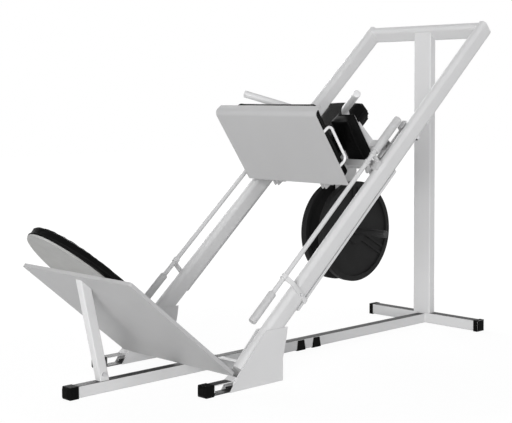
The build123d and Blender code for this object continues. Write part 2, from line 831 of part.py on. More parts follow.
# Lock rods, their catches and their grips
catch_end = sled_start - catch_gap
upper_grip_end = rod_end + grip_end_wall
lower_grip_start = rod_start - grip_end_wall
for side, sign in sides:
    with BuildPart() as lock_rod:
        with BuildSketch(rail_across(rod_start)):
            with Locations((sign * rail_y, rod_height)):
                Circle(rod_radius)
        extrude(amount=rod_end - rod_start)
    lock_rod.part.label = f"lock_rod_{side}"
    export_step(lock_rod.part, f"parts/lock_rod_{side}.step")

    # Catch that stands under the sled's lug
    reach = sqrt(catch_reach_y**2 + catch_reach_h**2)
    with BuildPart() as lock_catch:
        with BuildSketch(rail_across(catch_end - catch_length)):
            with Locations((sign * rail_y, rod_height)):
                Circle(eye_radius)
            with BuildLine():
                across_y = catch_width / 2 * catch_reach_h / reach
                across_h = catch_width / 2 * catch_reach_y / reach
                tip_y = rail_y - catch_reach_y
                tip_h = rod_height - catch_reach_h
                Polyline(
                    (sign * (rail_y - across_y), rod_height + across_h),
                    (sign * (tip_y - across_y), tip_h + across_h),
                    (sign * (tip_y + across_y), tip_h - across_h),
                    (sign * (rail_y + across_y), rod_height - across_h),
                    close=True,
                )
            make_face()
            with Locations((sign * tip_y, tip_h)):
                Circle(catch_width / 2)
            with Locations((sign * rail_y, rod_height)):
                Circle(rod_radius, mode=Mode.SUBTRACT)
        extrude(amount=catch_length)
    lock_catch.part.label = f"lock_catch_{side}"
    export_step(lock_catch.part, f"parts/lock_catch_{side}.step")

    # Lower and upper grips, closed over the rod's ends
    with BuildPart() as rod_grips:
        for start, length, radius in (
            (lower_grip_start, lower_grip_length, lower_grip_radius),
            (upper_grip_end - upper_grip_length, upper_grip_length, upper_grip_radius),
        ):
            with BuildSketch(rail_across(start)):
                with Locations((sign * rail_y, rod_height)):
                    Circle(radius)
            extrude(amount=length)
        fillet(rod_grips.edges().filter_by(GeomType.CIRCLE), radius=grip_edge)
        with BuildSketch(rail_across(rod_start)):
            with Locations((sign * rail_y, rod_height)):
                Circle(rod_radius)
        extrude(amount=rod_end - rod_start, mode=Mode.SUBTRACT)
    rod_grips.part.label = f"rod_grips_{side}"
    export_step(rod_grips.part, f"parts/rod_grips_{side}.step")

# Sled side plates, running between the rails, with lugs that stand on the catches
side_outer_y = rail_inner_y - side_gap
side_inner_y = side_outer_y - side_thickness
roller_h = -rail_depth - roller_gap - roller_radius
with BuildPart() as sled_sides:
    for side, sign in sides:
        with BuildSketch(rail_side(sign * side_inner_y)):
            with Locations(((sled_start + sled_end) / 2, (side_top - side_bottom) / 2)):
                Rectangle(sled_end - sled_start, side_top + side_bottom)
            chamfer(vertices(), length=side_chamfer)
            with Locations((sled_start + side_chamfer, 0)):
                Rectangle(2 * side_chamfer, 2 * lug_block_high)
        extrude(amount=-sign * side_thickness)
        with BuildSketch(rail_side(sign * side_outer_y)):
            with Locations((sled_start + lug_block_length / 2, (lug_block_low + lug_block_high) / 2)):
                Rectangle(lug_block_length, lug_block_high - lug_block_low)
        extrude(amount=-sign * lug_block_reach)
        with BuildSketch(rail_side(sign * side_inner_y)):
            with Locations(*[(place, roller_h) for place in roller_places]):
                Circle(axle_radius)
        extrude(amount=-sign * side_thickness, mode=Mode.SUBTRACT)
sled_sides.part.label = "sled_sides"
export_step(sled_sides.part, "parts/sled_sides.step")

# Sled cross tubes at the front, behind the shoulder pads and at the rear
mid_tube_place = shoulder_place + shoulder_thickness + backplate_thickness
tube_h = sled_tube_top - sled_tube_height / 2
with BuildPart() as sled_cross_tubes:
    with BuildSketch(rail_side(side_inner_y)):
        for place in (front_tube_place, mid_tube_place, rear_tube_place):
            with Locations((place + sled_tube_depth / 2, tube_h)):
                tube_section(sled_tube_depth, sled_tube_height, sled_tube_wall, sled_tube_corner)
    extrude(amount=2 * side_inner_y)
sled_cross_tubes.part.label = "sled_cross_tubes"
export_step(sled_cross_tubes.part, "parts/sled_cross_tubes.step")

# Sled centre tubes between the cross tubes
with BuildPart() as sled_centre_tubes:
    for start, end in (
        (front_tube_place + sled_tube_depth, mid_tube_place),
        (mid_tube_place + sled_tube_depth, rear_tube_place),
    ):
        with BuildSketch(rail_across(start)):
            with Locations((0, tube_h)):
                tube_section(centre_tube_width, sled_tube_height, sled_tube_wall, sled_tube_corner)
        extrude(amount=end - start)
sled_centre_tubes.part.label = "sled_centre_tubes"
export_step(sled_centre_tubes.part, "parts/sled_centre_tubes.step")

# Shoes that slide on the rails' upper faces
with BuildPart() as sled_shoes:
    for side, sign in sides:
        with BuildSketch(rail_side(sign * side_outer_y)):
            with Locations(*[(place, roller_gap + shoe_height / 2) for place in shoe_places]):
                Rectangle(shoe_length, shoe_height)
            fillet(vertices(), radius=shoe_edge)
        extrude(amount=-sign * shoe_width)
sled_shoes.part.label = "sled_shoes"
export_step(sled_shoes.part, "parts/sled_shoes.step")

# Axles pressed into the side plates, one for each keeper roller
roller_inner_y = rail_inner_y + roller_inset
roller_outer_y = roller_inner_y + roller_width
with BuildPart() as roller_axles:
    for side, sign in sides:
        for start_y, length, radius in (
            (side_inner_y, roller_outer_y + roller_gap - side_inner_y, axle_radius),
            (roller_outer_y + roller_gap, axle_head, axle_head_radius),
            (side_outer_y, roller_inner_y - roller_gap - side_outer_y, axle_head_radius),
        ):
            with BuildSketch(rail_side(sign * start_y)):
                with Locations(*[(place, roller_h) for place in roller_places]):
                    Circle(radius)
            extrude(amount=-sign * length)
roller_axles.part.label = "roller_axles"
export_step(roller_axles.part, "parts/roller_axles.step")

# Keeper rollers under the rails
for name, place in zip(("front", "rear"), roller_places):
    with BuildPart() as rollers:
        for side, sign in sides:
            with BuildSketch(rail_side(sign * roller_inner_y)):
                with Locations((place, roller_h)):
                    Circle(roller_radius)
            extrude(amount=-sign * roller_width)
        chamfer(rollers.edges().filter_by(GeomType.CIRCLE), length=roller_edge)
        with BuildSketch(rail_side(roller_outer_y)):
            with Locations((place, roller_h)):
                Circle(axle_radius + rod_running_gap)
        extrude(amount=2 * roller_outer_y, mode=Mode.SUBTRACT)
    rollers.part.label = f"rollers_{name}"
    export_step(rollers.part, f"parts/rollers_{name}.step")

# Weight carrier, an upright tube under the sled's centre tube
with BuildPart() as weight_carrier:
    with BuildSketch(Plane.XY.offset(horn_z - carrier_below)):
        with Locations((carrier_x, 0)):
            tube_section(carrier_depth, carrier_width, carrier_wall, carrier_corner)
    extrude(amount=rail_point(rear_tube_place, 0, 0).Z - horn_z + carrier_below)
    split(bisect_by=rail_over(sled_tube_top - sled_tube_height), keep=Keep.BOTTOM)
    with BuildSketch(Plane.XZ.offset(-carrier_width)):
        with Locations((carrier_x, horn_z)):
            Circle(horn_radius + horn_weld_gap)
    extrude(amount=2 * carrier_width, mode=Mode.SUBTRACT)
weight_carrier.part.label = "weight_carrier"
export_step(weight_carrier.part, "parts/weight_carrier.step")

# Weight horn, one bar through the carrier, full under the discs and turned down a little beyond them
disc_inner_y = carrier_width / 2 + horn_collar + disc_seat_gap
disc_outer_y = disc_inner_y + disc_thickness
horn_root_half = disc_outer_y + horn_land
with BuildPart() as weight_horn:
    with BuildSketch(Plane.XZ.offset(-horn_half)):
        with Locations((carrier_x, horn_z)):
            Circle(horn_radius - horn_step)
    extrude(amount=2 * horn_half)
    chamfer(weight_horn.edges().filter_by(GeomType.CIRCLE), length=horn_edge)
    with BuildSketch(Plane.XZ.offset(-horn_root_half)):
        with Locations((carrier_x, horn_z)):
            Circle(horn_radius)
    extrude(amount=2 * horn_root_half)
weight_horn.part.label = "weight_horn"
export_step(weight_horn.part, "parts/weight_horn.step")

# Collars welded to the horn against both sides of the carrier
with BuildPart() as horn_collars:
    for side, sign in sides:
        with BuildSketch(Plane.XZ.offset(-sign * carrier_width / 2)):
            with Locations((carrier_x, horn_z)):
                Circle(horn_collar_radius)
                Circle(horn_radius, mode=Mode.SUBTRACT)
        extrude(amount=-sign * horn_collar)
horn_collars.part.label = "horn_collars"
export_step(horn_collars.part, "parts/horn_collars.step")

# Weight discs with a rim, a recessed web, a stepped hub and pairs of ribs
disc_centre_y = disc_inner_y + disc_thickness / 2
rib_outer = disc_radius - disc_rim
rib_middle = (disc_hub_radius + rib_outer) / 2
rib_angles = [rib_first_angle + k * full_turn / rib_pairs for k in range(rib_pairs)]
for side, sign in sides:
    with BuildPart() as weight_disc:
        with BuildSketch(Plane.XZ.offset(-sign * disc_inner_y)):
            with Locations((carrier_x, horn_z)):
                Circle(disc_radius)
        extrude(amount=-sign * disc_thickness)
        fillet(weight_disc.edges().filter_by(GeomType.CIRCLE), radius=disc_edge)
        for face_y, amount in (
            (disc_centre_y + disc_web / 2, disc_thickness),
            (disc_centre_y - disc_web / 2, -disc_thickness),
        ):
            with BuildSketch(Plane.XZ.offset(-sign * face_y)):
                with Locations((carrier_x, horn_z)):
                    Circle(disc_radius - disc_rim)
                    Circle(disc_hub_radius, mode=Mode.SUBTRACT)
            extrude(amount=-sign * amount, mode=Mode.SUBTRACT)
        with BuildSketch(Plane.XZ.offset(-sign * (disc_centre_y - disc_web / 2 - rib_height))):
            with Locations((carrier_x, horn_z)):
                with Locations(*[Location((0, 0, 0), (0, 0, angle)) for angle in rib_angles]):
                    with Locations((rib_middle, rib_spread), (rib_middle, -rib_spread)):
                        Rectangle(rib_outer - disc_hub_radius + 2 * disc_edge, rib_width)
        extrude(amount=-sign * (disc_web + 2 * rib_height))
        with BuildSketch(Plane.XZ.offset(-sign * disc_inner_y)):
            with Locations((carrier_x, horn_z)):
                Circle(horn_radius + disc_bore_gap)
        extrude(amount=-sign * disc_thickness, mode=Mode.SUBTRACT)
    weight_disc.part.label = f"weight_disc_{side}"
    export_step(weight_disc.part, f"parts/weight_disc_{side}.step")

# Foot plate, a sheet with its upper edge rolled back
roll_inner = plate_roll_radius - plate_thickness
roll_v = plate_straight + plate_roll_radius
with BuildPart() as foot_plate:
    with BuildSketch(plate_side(plate_half)):
        with BuildLine():
            Line((0, 0), (0, plate_straight))
            RadiusArc((0, plate_straight), (plate_roll_radius, roll_v), plate_roll_radius)
            Polyline(
                (plate_roll_radius, roll_v),
                (plate_roll_radius + plate_roll_tail, roll_v),
                (plate_roll_radius + plate_roll_tail, roll_v - plate_thickness),
                (plate_roll_radius, roll_v - plate_thickness),
            )
            RadiusArc(
                (plate_roll_radius, roll_v - plate_thickness), (plate_thickness, plate_straight), -roll_inner
            )
            Polyline((plate_thickness, plate_straight), (plate_thickness, 0), (0, 0))
        make_face()
    extrude(amount=2 * plate_half)
foot_plate.part.label = "foot_plate"
export_step(foot_plate.part, "parts/foot_plate.step")

# Board behind the foot plate
with BuildPart() as hack_board:
    with BuildSketch(plate_behind(plate_thickness)):
        with Locations(((hack_board_low + hack_board_high) / 2, 0)):
            RectangleRounded(hack_board_high - hack_board_low, 2 * hack_board_half, plate_corner)
    extrude(amount=hack_board_thickness)
hack_board.part.label = "hack_board"
export_step(hack_board.part, "parts/hack_board.step")

# Pad on the board, crowned across its width
hack_pad_w = plate_thickness + hack_board_thickness
hack_plane = Plane(origin=plate_low + plate_w * hack_pad_w + plate_v * hack_low, x_dir=plate_v, z_dir=plate_w)
hack_solid = crowned_cushion(
    hack_plane, hack_length, hack_half, hack_side, hack_crown, hack_draw, hack_corner, hack_edge
)
with BuildPart() as hack_pad:
    add(hack_solid)
hack_pad.part.label = "hack_pad"
export_step(hack_pad.part, "parts/hack_pad.step")

# D-handles behind the foot plate's side edges
handle_y = plate_half - handle_inset
with BuildPart() as d_handles:
    for side, sign in sides:
        with BuildLine(plate_side(sign * handle_y)):
            handle_path = FilletPolyline(
                (plate_thickness, handle_low),
                (handle_stand + plate_thickness, handle_low),
                (handle_stand + plate_thickness, handle_high),
                (plate_thickness, handle_high),
                radius=handle_bend,
            )
        with BuildSketch(Plane(origin=handle_path @ 0, z_dir=handle_path % 0)):
            Circle(handle_wire)
        sweep()
d_handles.part.label = "d_handles"
export_step(d_handles.part, "parts/d_handles.step")

# Hinge bar under the pad with two cheeks for each fold arm
cheek_inner = fold_arm_thickness / 2 + fold_cheek_gap
cheek_outer = cheek_inner + fold_cheek_thickness
cheek_low = fold_v - fold_eye
with BuildPart() as hinge_bar:
    with BuildSketch(plate_side(hack_board_half)):
        with Locations((plate_thickness + hack_board_thickness / 2, (hack_low + hack_board_low) / 2)):
            Rectangle(hack_board_thickness, hack_board_low - hack_low)
    extrude(amount=2 * hack_board_half)
    for side, sign in sides:
        for start in (cheek_inner, -cheek_outer):
            with BuildSketch(plate_side(sign * fold_half + start + fold_cheek_thickness)):
                with BuildLine():
                    Polyline(
                        (plate_thickness, hack_low),
                        (hack_pad_w, hack_low),
                        (hack_pad_w, fold_v + fold_eye),
                        (fold_w, fold_v + fold_eye),
                        (fold_w + fold_tail, fold_v),
                        (fold_w + fold_tail, cheek_low),
                        (plate_thickness, cheek_low),
                        close=True,
                    )
                make_face()
                with Locations((fold_w, fold_v)):
                    Circle(fold_pin_radius, mode=Mode.SUBTRACT)
            extrude(amount=fold_cheek_thickness)
hinge_bar.part.label = "hinge_bar"
export_step(hinge_bar.part, "parts/hinge_bar.step")

# Fold arms on the front cross tube, with stops under the cheeks' tails
pivot = plate_low + plate_w * fold_w + plate_v * fold_v
pivot_local = rail_side(0).to_local_coords(pivot)
stop_top = cheek_low - fold_stop_gap
stop_start = fold_w + fold_tail - fold_stop_length
with BuildPart() as fold_arms:
    for side, sign in sides:
        with BuildSketch(rail_side(sign * fold_half + fold_arm_thickness / 2)):
            with BuildLine():
                Polyline(
                    (pivot_local.X, pivot_local.Y + fold_eye),
                    (front_tube_place, sled_tube_top),
                    (front_tube_place, sled_tube_top - sled_tube_height),
                    (pivot_local.X, pivot_local.Y - fold_eye),
                    close=True,
                )
            make_face()
            with Locations((pivot_local.X, pivot_local.Y)):
                Circle(fold_eye)
        extrude(amount=fold_arm_thickness)
        with BuildSketch(plate_side(sign * fold_half + cheek_outer)):
            with Locations((stop_start + fold_stop_length / 2, stop_top - fold_stop_drop / 2)):
                Rectangle(fold_stop_length, fold_stop_drop)
        extrude(amount=2 * cheek_outer)
        with BuildSketch(rail_side(sign * fold_half + fold_arm_thickness / 2)):
            with Locations((pivot_local.X, pivot_local.Y)):
                Circle(fold_pin_radius + fold_running_gap)
        extrude(amount=fold_arm_thickness, mode=Mode.SUBTRACT)
fold_arms.part.label = "fold_arms"
export_step(fold_arms.part, "parts/fold_arms.step")

# Pins of the fold hinge, fixed in the cheeks
with BuildPart() as fold_pins:
    for side, sign in sides:
        with BuildSketch(rail_side(sign * fold_half + fold_pin_half)):
            with Locations((pivot_local.X, pivot_local.Y)):
                Circle(fold_pin_radius)
        extrude(amount=2 * fold_pin_half)
fold_pins.part.label = "fold_pins"
export_step(fold_pins.part, "parts/fold_pins.step")

# Shoulder pads, each with its back plate
shoulder_back = shoulder_place + shoulder_thickness
shoulder_y = shoulder_inner + shoulder_width / 2
shoulder_mid = shoulder_low + shoulder_length / 2
with BuildPart() as shoulder_plates:
    with BuildSketch(Plane(origin=rail_point(shoulder_back, 0, 0), x_dir=rail_up, z_dir=rail_dir)):
        with Locations((shoulder_mid, shoulder_y), (shoulder_mid, -shoulder_y)):
            RectangleRounded(
                shoulder_length - 2 * backplate_inset, shoulder_width - 2 * backplate_inset, shoulder_corner
            )
    extrude(amount=backplate_thickness)
shoulder_plates.part.label = "shoulder_plates"
export_step(shoulder_plates.part, "parts/shoulder_plates.step")

for side, sign in sides:
    pad_plane = Plane(
        origin=rail_point(shoulder_back, sign * shoulder_y, shoulder_low), x_dir=rail_up, z_dir=-rail_dir
    )
    pad_solid = crowned_cushion(
        pad_plane, shoulder_length, shoulder_width / 2, shoulder_thickness - shoulder_crown,
        shoulder_crown, shoulder_draw, shoulder_corner, shoulder_edge,
    )
    with BuildPart() as shoulder_pad:
        add(pad_solid)
    shoulder_pad.part.label = f"shoulder_pad_{side}"
    export_step(shoulder_pad.part, f"parts/shoulder_pad_{side}.step")

# Wedge gussets behind the shoulder plates
with BuildPart() as shoulder_wedges:
    for side, sign in sides:
        with BuildSketch(rail_side(sign * wedge_y + wedge_thickness / 2)):
            with BuildLine():
                Polyline(
                    (mid_tube_place, sled_tube_top),
                    (mid_tube_place + sled_tube_depth, sled_tube_top),
                    (mid_tube_place + wedge_top, sled_tube_top + wedge_height),
                    (mid_tube_place, sled_tube_top + wedge_height),
                    close=True,
                )
            make_face()
        extrude(amount=wedge_thickness)
shoulder_wedges.part.label = "shoulder_wedges"
export_step(shoulder_wedges.part, "parts/shoulder_wedges.step")

# Bent tube handles that rise from the mid cross tube and lean outwards
handle_place = mid_tube_place + sled_tube_depth / 2
for side, sign in sides:
    with BuildPart() as horn_handle:
        with BuildLine():
            handle_path = FilletPolyline(
                rail_point(handle_place, sign * horn_root_y, sled_tube_top),
                rail_point(handle_place, sign * horn_root_y, horn_knee_h),
                rail_point(handle_place, sign * horn_elbow_y, horn_elbow_h),
                rail_point(handle_place - horn_tip_back, sign * horn_tip_y, horn_tip_h),
                radius=horn_bend,
            )
        with BuildSketch(Plane(origin=handle_path @ 0, z_dir=handle_path % 0)):
            Circle(horn_tube_radius)
            Circle(horn_tube_radius - horn_tube_wall, mode=Mode.SUBTRACT)
        sweep()
    horn_handle.part.label = f"horn_handle_{side}"
    export_step(horn_handle.part, f"parts/horn_handle_{side}.step")


# Plugs in the open ends of the bent handles
elbow = rail_point(handle_place, horn_elbow_y, horn_elbow_h)
tip = rail_point(handle_place - horn_tip_back, horn_tip_y, horn_tip_h)
tip_dir = (tip - elbow).normalized()
with BuildPart() as horn_plugs:
    with BuildSketch(Plane(origin=tip, z_dir=tip_dir)):
        Circle(horn_tube_radius)
    extrude(amount=horn_plug)
    plug_end = horn_plugs.faces().sort_by(Axis(elbow, tip_dir))[-1]
    fillet(plug_end.edges(), radius=horn_plug / 2)
    with BuildSketch(Plane(origin=tip, z_dir=tip_dir)):
        Circle(horn_tube_radius - horn_tube_wall - plug_clearance)
    extrude(amount=-plug_length)
    mirror(about=Plane.XZ)
horn_plugs.part.label = "horn_plugs"
export_step(horn_plugs.part, "parts/horn_plugs.step")

# Head pad on its board
head_length = head_end - head_start
with BuildPart() as head_board:
    with BuildSketch(rail_over(sled_tube_top)):
        with Locations((head_start + head_length / 2, 0)):
            RectangleRounded(head_length - 2 * head_board_inset, 2 * head_board_half, plate_corner)
    extrude(amount=board_thickness)
head_board.part.label = "head_board"
export_step(head_board.part, "parts/head_board.step")

head_plane = Plane(
    origin=rail_point(head_start, 0, sled_tube_top + board_thickness), x_dir=rail_dir, z_dir=rail_up
)
head_solid = crowned_cushion(
    head_plane, head_length, head_half, head_side, head_crown, head_draw, head_corner, head_edge
)
with BuildPart() as head_pad:
    add(head_solid)
head_pad.part.label = "head_pad"
export_step(head_pad.part, "parts/head_pad.step")
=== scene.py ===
import math
import bpy
import bmesh
from mathutils import Matrix, Vector
from mathutils.bvhtree import BVHTree


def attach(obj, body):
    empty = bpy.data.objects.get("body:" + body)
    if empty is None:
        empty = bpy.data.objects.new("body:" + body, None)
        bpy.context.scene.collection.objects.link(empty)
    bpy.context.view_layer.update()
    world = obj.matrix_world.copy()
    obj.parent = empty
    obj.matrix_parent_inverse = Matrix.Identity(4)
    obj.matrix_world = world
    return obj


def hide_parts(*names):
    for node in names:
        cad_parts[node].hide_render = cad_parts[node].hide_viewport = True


# Sled leg press machine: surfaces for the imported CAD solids, fitted copies of some of them, weld beads and
# simulated cushions. All lengths are in metres.
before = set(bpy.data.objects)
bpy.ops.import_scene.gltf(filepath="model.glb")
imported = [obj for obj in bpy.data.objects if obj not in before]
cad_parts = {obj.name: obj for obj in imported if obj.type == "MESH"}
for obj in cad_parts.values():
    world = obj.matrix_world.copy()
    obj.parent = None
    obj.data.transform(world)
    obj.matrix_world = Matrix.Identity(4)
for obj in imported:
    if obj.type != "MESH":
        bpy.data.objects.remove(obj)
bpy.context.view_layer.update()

# Rail axes: T runs up the rails, H off their upper faces, Y across the machine
RAIL_ANGLE = math.radians(41.25)
RAIL_FOOT = Vector((-0.447267, 0.0, 0.090))
T = Vector((math.cos(RAIL_ANGLE), 0, math.sin(RAIL_ANGLE)))
H = Vector((-math.sin(RAIL_ANGLE), 0, math.cos(RAIL_ANGLE)))
Y = Vector((0, 1, 0))

# Rail section: where its axis lies across and in depth, half its sides and its corner radius
RAIL_Y = 0.3335
RAIL_MID = -0.039
RAIL_HALF = 0.0225
RAIL_HALF_DEPTH = 0.039
RAIL_CORNER = 0.007


def rail(t, y, h):
    """A point t up the rail, y across and h off the rail's upper face."""
    return RAIL_FOOT + T * t + Y * y + H * h


def rail_local(p):
    q = p - RAIL_FOOT
    return q.dot(T), p.y, q.dot(H)


# Foot plate axes: PV runs up the plate, PW goes back from its face
PLATE_TILT = math.radians(7.1)
PLATE_LOW = rail(0.932, 0, 0.043)
PV = H * math.cos(PLATE_TILT) + T * math.sin(PLATE_TILT)
PW = T * math.cos(PLATE_TILT) - H * math.sin(PLATE_TILT)


def plate(w, v, y):
    """A point w behind the foot plate's face, v up it and y across."""
    return PLATE_LOW + PW * w + PV * v + Y * y


def plate_local(p):
    q = p - PLATE_LOW
    return q.dot(PW), q.dot(PV), p.y


class Slope:
    """The platform plate's own axes: s down from its top edge, h off its upper face."""

    def __init__(self, angle, length, setback, drop):
        a = math.radians(angle)
        self.length = length
        self.d = Vector((math.cos(a), 0, -math.sin(a)))
        self.u = Vector((math.sin(a), 0, math.cos(a)))
        self.foot = RAIL_FOOT - Vector((setback, 0, drop))
        self.top = self.foot - self.d * length

    def point(self, s, y, h):
        return self.top + self.d * s + Y * y + self.u * h

    def local(self, p):
        q = p - self.top
        return q.dot(self.d), p.y, q.dot(self.u)


# The solids' platform, and the one measured in the photograph, to which the visible pieces are fitted
SOLID_DROP = 0.012
SOLID = Slope(38.4, 0.621, SOLID_DROP / math.tan(RAIL_ANGLE), SOLID_DROP)
SEEN = Slope(39.7, 0.631, 0.005, 0.025)

# Camera, fitted to edges measured in the photograph
PHOTO_WIDTH_PX = 512
FOCAL_PX = 1199.4
SENSOR_MM = 36
EYE = Vector((-3.4667, -3.6541, 1.1337))
YAW, PITCH, ROLL = math.radians(44.318), math.radians(3.831), math.radians(-0.254)
SHIFT = (-0.04, -0.08)


def make_camera():
    ahead = Vector((math.sin(YAW) * math.cos(PITCH), math.cos(YAW) * math.cos(PITCH), -math.sin(PITCH)))
    level = Vector((math.cos(YAW), -math.sin(YAW), 0))
    above = level.cross(ahead)
    right = level * math.cos(ROLL) + above * math.sin(ROLL)
    up = -level * math.sin(ROLL) + above * math.cos(ROLL)
    data = bpy.data.cameras.new("camera")
    data.sensor_width = SENSOR_MM
    data.lens = FOCAL_PX * SENSOR_MM / PHOTO_WIDTH_PX
    data.shift_x, data.shift_y = SHIFT
    data.clip_end = 100
    cam = bpy.data.objects.new("camera", data)
    bpy.context.scene.collection.objects.link(cam)
    m = Matrix((right, up, -ahead)).transposed().to_4x4()
    m.translation = EYE
    cam.matrix_world = m
    bpy.context.scene.camera = cam


# Node helpers
def nodes_of(owner):
    owner.use_nodes = True
    nt = owner.node_tree
    nt.nodes.clear()
    return nt


def maths(nt, operation, a, b):
    """A math node on socket a and on b, a socket or a number."""
    node = nt.nodes.new("ShaderNodeMath")
    node.operation = operation
    nt.links.new(a, node.inputs[0])
    if isinstance(b, float):
        node.inputs[1].default_value = b
    else:
        nt.links.new(b, node.inputs[1])
    return node.outputs[0]


def spread(nt, value, low, high, start=0.0, end=1.0):
    """Carries value from start..end to low..high."""
    node = nt.nodes.new("ShaderNodeMapRange")
    node.inputs["From Min"].default_value = start
    node.inputs["From Max"].default_value = end
    node.inputs["To Min"].default_value = low
    node.inputs["To Max"].default_value = high
    nt.links.new(value, node.inputs["Value"])
    return node.outputs["Result"]


def height_of(nt, vector):
    node = nt.nodes.new("ShaderNodeSeparateXYZ")
    nt.links.new(vector, node.inputs[0])
    return node.outputs["Z"]


def place_in(nt, kind="Object"):
    return nt.nodes.new("ShaderNodeTexCoord").outputs[kind]


def mixed(nt, share, first, second):
    node = nt.nodes.new("ShaderNodeMixShader")
    nt.links.new(share, node.inputs["Fac"])
    nt.links.new(first, node.inputs[1])
    nt.links.new(second, node.inputs[2])
    return node.outputs[0]


def ramp(nt, source, stops):
    node = nt.nodes.new("ShaderNodeValToRGB")
    cr = node.color_ramp
    cr.elements[0].position, cr.elements[0].color = stops[0][0], (*stops[0][1], 1)
    cr.elements[1].position, cr.elements[1].color = stops[-1][0], (*stops[-1][1], 1)
    for pos, col in stops[1:-1]:
        e = cr.elements.new(pos)
        e.color = (*col, 1)
    nt.links.new(source, node.inputs["Fac"])
    return node.outputs["Color"]


def noise(nt, scale, detail=3, rough=0.5):
    node = nt.nodes.new("ShaderNodeTexNoise")
    node.inputs["Scale"].default_value = scale
    node.inputs["Detail"].default_value = detail
    node.inputs["Roughness"].default_value = rough
    nt.links.new(place_in(nt), node.inputs["Vector"])
    return node.outputs["Fac"]


def bump(nt, height, strength, distance, under=None):
    node = nt.nodes.new("ShaderNodeBump")
    node.inputs["Strength"].default_value = strength
    node.inputs["Distance"].default_value = distance
    nt.links.new(height, node.inputs["Height"])
    if under:
        nt.links.new(under, node.inputs["Normal"])
    return node.outputs["Normal"]


def seen_white(nt):
    """1 for rays that come from the camera, a mirror-like face or glass."""
    path = nt.nodes.new("ShaderNodeLightPath")
    last = path.outputs["Is Camera Ray"]
    for name in ("Is Glossy Ray", "Is Transmission Ray"):
        last = maths(nt, "MAXIMUM", last, path.outputs[name])
    return last


# Floor, backdrop and lamps
FLOOR_HALF = 14
FLOOR_GREY = (0.80, 0.80, 0.80, 1)
FLOOR_GLOW = 1.06
SHADOW_REACH, BACKDROP_REACH = 1.2, 2.0
SHADOW_MELT = 0.88
WHITE = (1, 1, 1, 1)
# The soft light is weaker from straight above than from the sides
SKY = [(0.0, (0.60, 0.60, 0.61)), (0.45, (0.46, 0.46, 0.47)), (1.0, (0.18, 0.18, 0.19))]
LAMP_GLOSS = 0.5
# Each lamp: name, place, what it points at, width and watts
LAMPS = [
    ("key", (-9.2, -5.8, 2.1), (0, 0, 0.6), 6.0, 980),
    ("fill", (1.2, -5.2, 1.6), (0.2, 0, 0.6), 3.0, 22),
    ("back", (2.5, 4.8, 2.6), (0.2, 0, 0.7), 3.4, 150),
]


def make_floor():
    """Under the machine the floor still takes a soft shadow, further out it melts into the backdrop."""
    mat = bpy.data.materials.new("floor")
    nt = nodes_of(mat)
    out = nt.nodes.new("ShaderNodeOutputMaterial")
    diffuse = nt.nodes.new("ShaderNodeBsdfDiffuse")
    diffuse.inputs["Color"].default_value = FLOOR_GREY
    glow = nt.nodes.new("ShaderNodeEmission")
    glow.inputs["Strength"].default_value = FLOOR_GLOW
    far = nt.nodes.new("ShaderNodeVectorMath")
    far.operation = "LENGTH"
    nt.links.new(place_in(nt), far.inputs[0])
    melt = spread(nt, far.outputs["Value"], SHADOW_MELT, 1.0, SHADOW_REACH, BACKDROP_REACH)
    share = maths(nt, "MULTIPLY", seen_white(nt), melt)
    nt.links.new(mixed(nt, share, diffuse.outputs[0], glow.outputs[0]), out.inputs["Surface"])
    mesh = bpy.data.meshes.new("floor")
    s = FLOOR_HALF
    mesh.from_pydata([(-s, -s, 0), (s, -s, 0), (s, s, 0), (-s, s, 0)], [], [(0, 1, 2, 3)])
    mesh.materials.append(mat)
    floor = bpy.data.objects.new("floor", mesh)
    bpy.context.scene.collection.objects.link(floor)


def make_world():
    world = bpy.data.worlds.new("world")
    bpy.context.scene.world = world
    nt = nodes_of(world)
    out = nt.nodes.new("ShaderNodeOutputWorld")
    back = nt.nodes.new("ShaderNodeBackground")
    back.inputs["Color"].default_value = WHITE
    soft = nt.nodes.new("ShaderNodeBackground")
    nt.links.new(ramp(nt, height_of(nt, place_in(nt, "Generated")), SKY), soft.inputs["Color"])
    nt.links.new(mixed(nt, seen_white(nt), soft.outputs[0], back.outputs[0]), out.inputs["Surface"])


def make_lamp(name, place, target, size, watts):
    data = bpy.data.lights.new(name, "AREA")
    data.shape = "DISK"
    data.size = size
    data.energy = watts
    data.specular_factor = LAMP_GLOSS
    o = bpy.data.objects.new(name, data)
    bpy.context.scene.collection.objects.link(o)
    o.location = place
    o.rotation_euler = (Vector(target) - Vector(place)).to_track_quat("-Z", "Y").to_euler()


# Procedural materials
def principled(name, metallic=0.0, specular=0.5, coat=0.0):
    mat = bpy.data.materials.new(name)
    nt = nodes_of(mat)
    out = nt.nodes.new("ShaderNodeOutputMaterial")
    p = nt.nodes.new("ShaderNodeBsdfPrincipled")
    p.inputs["Metallic"].default_value = metallic
    p.inputs["Specular IOR Level"].default_value = specular
    p.inputs["Coat Weight"].default_value = coat
    p.inputs["Coat Roughness"].default_value = 0.3
    nt.links.new(p.outputs[0], out.inputs["Surface"])
    return mat, nt, p


def cover(nt, p, color, rough, normal):
    nt.links.new(color, p.inputs["Base Color"])
    nt.links.new(normal, p.inputs["Normal"])
    if isinstance(rough, float):
        p.inputs["Roughness"].default_value = rough
    else:
        nt.links.new(rough, p.inputs["Roughness"])


def clouded(nt, source, color, dark, light, start=0.3, end=0.7):
    """color between its dark and light shares, as source goes from start to end."""
    return ramp(nt, source, [(start, tuple(v * dark for v in color)), (end, tuple(v * light for v in color))])


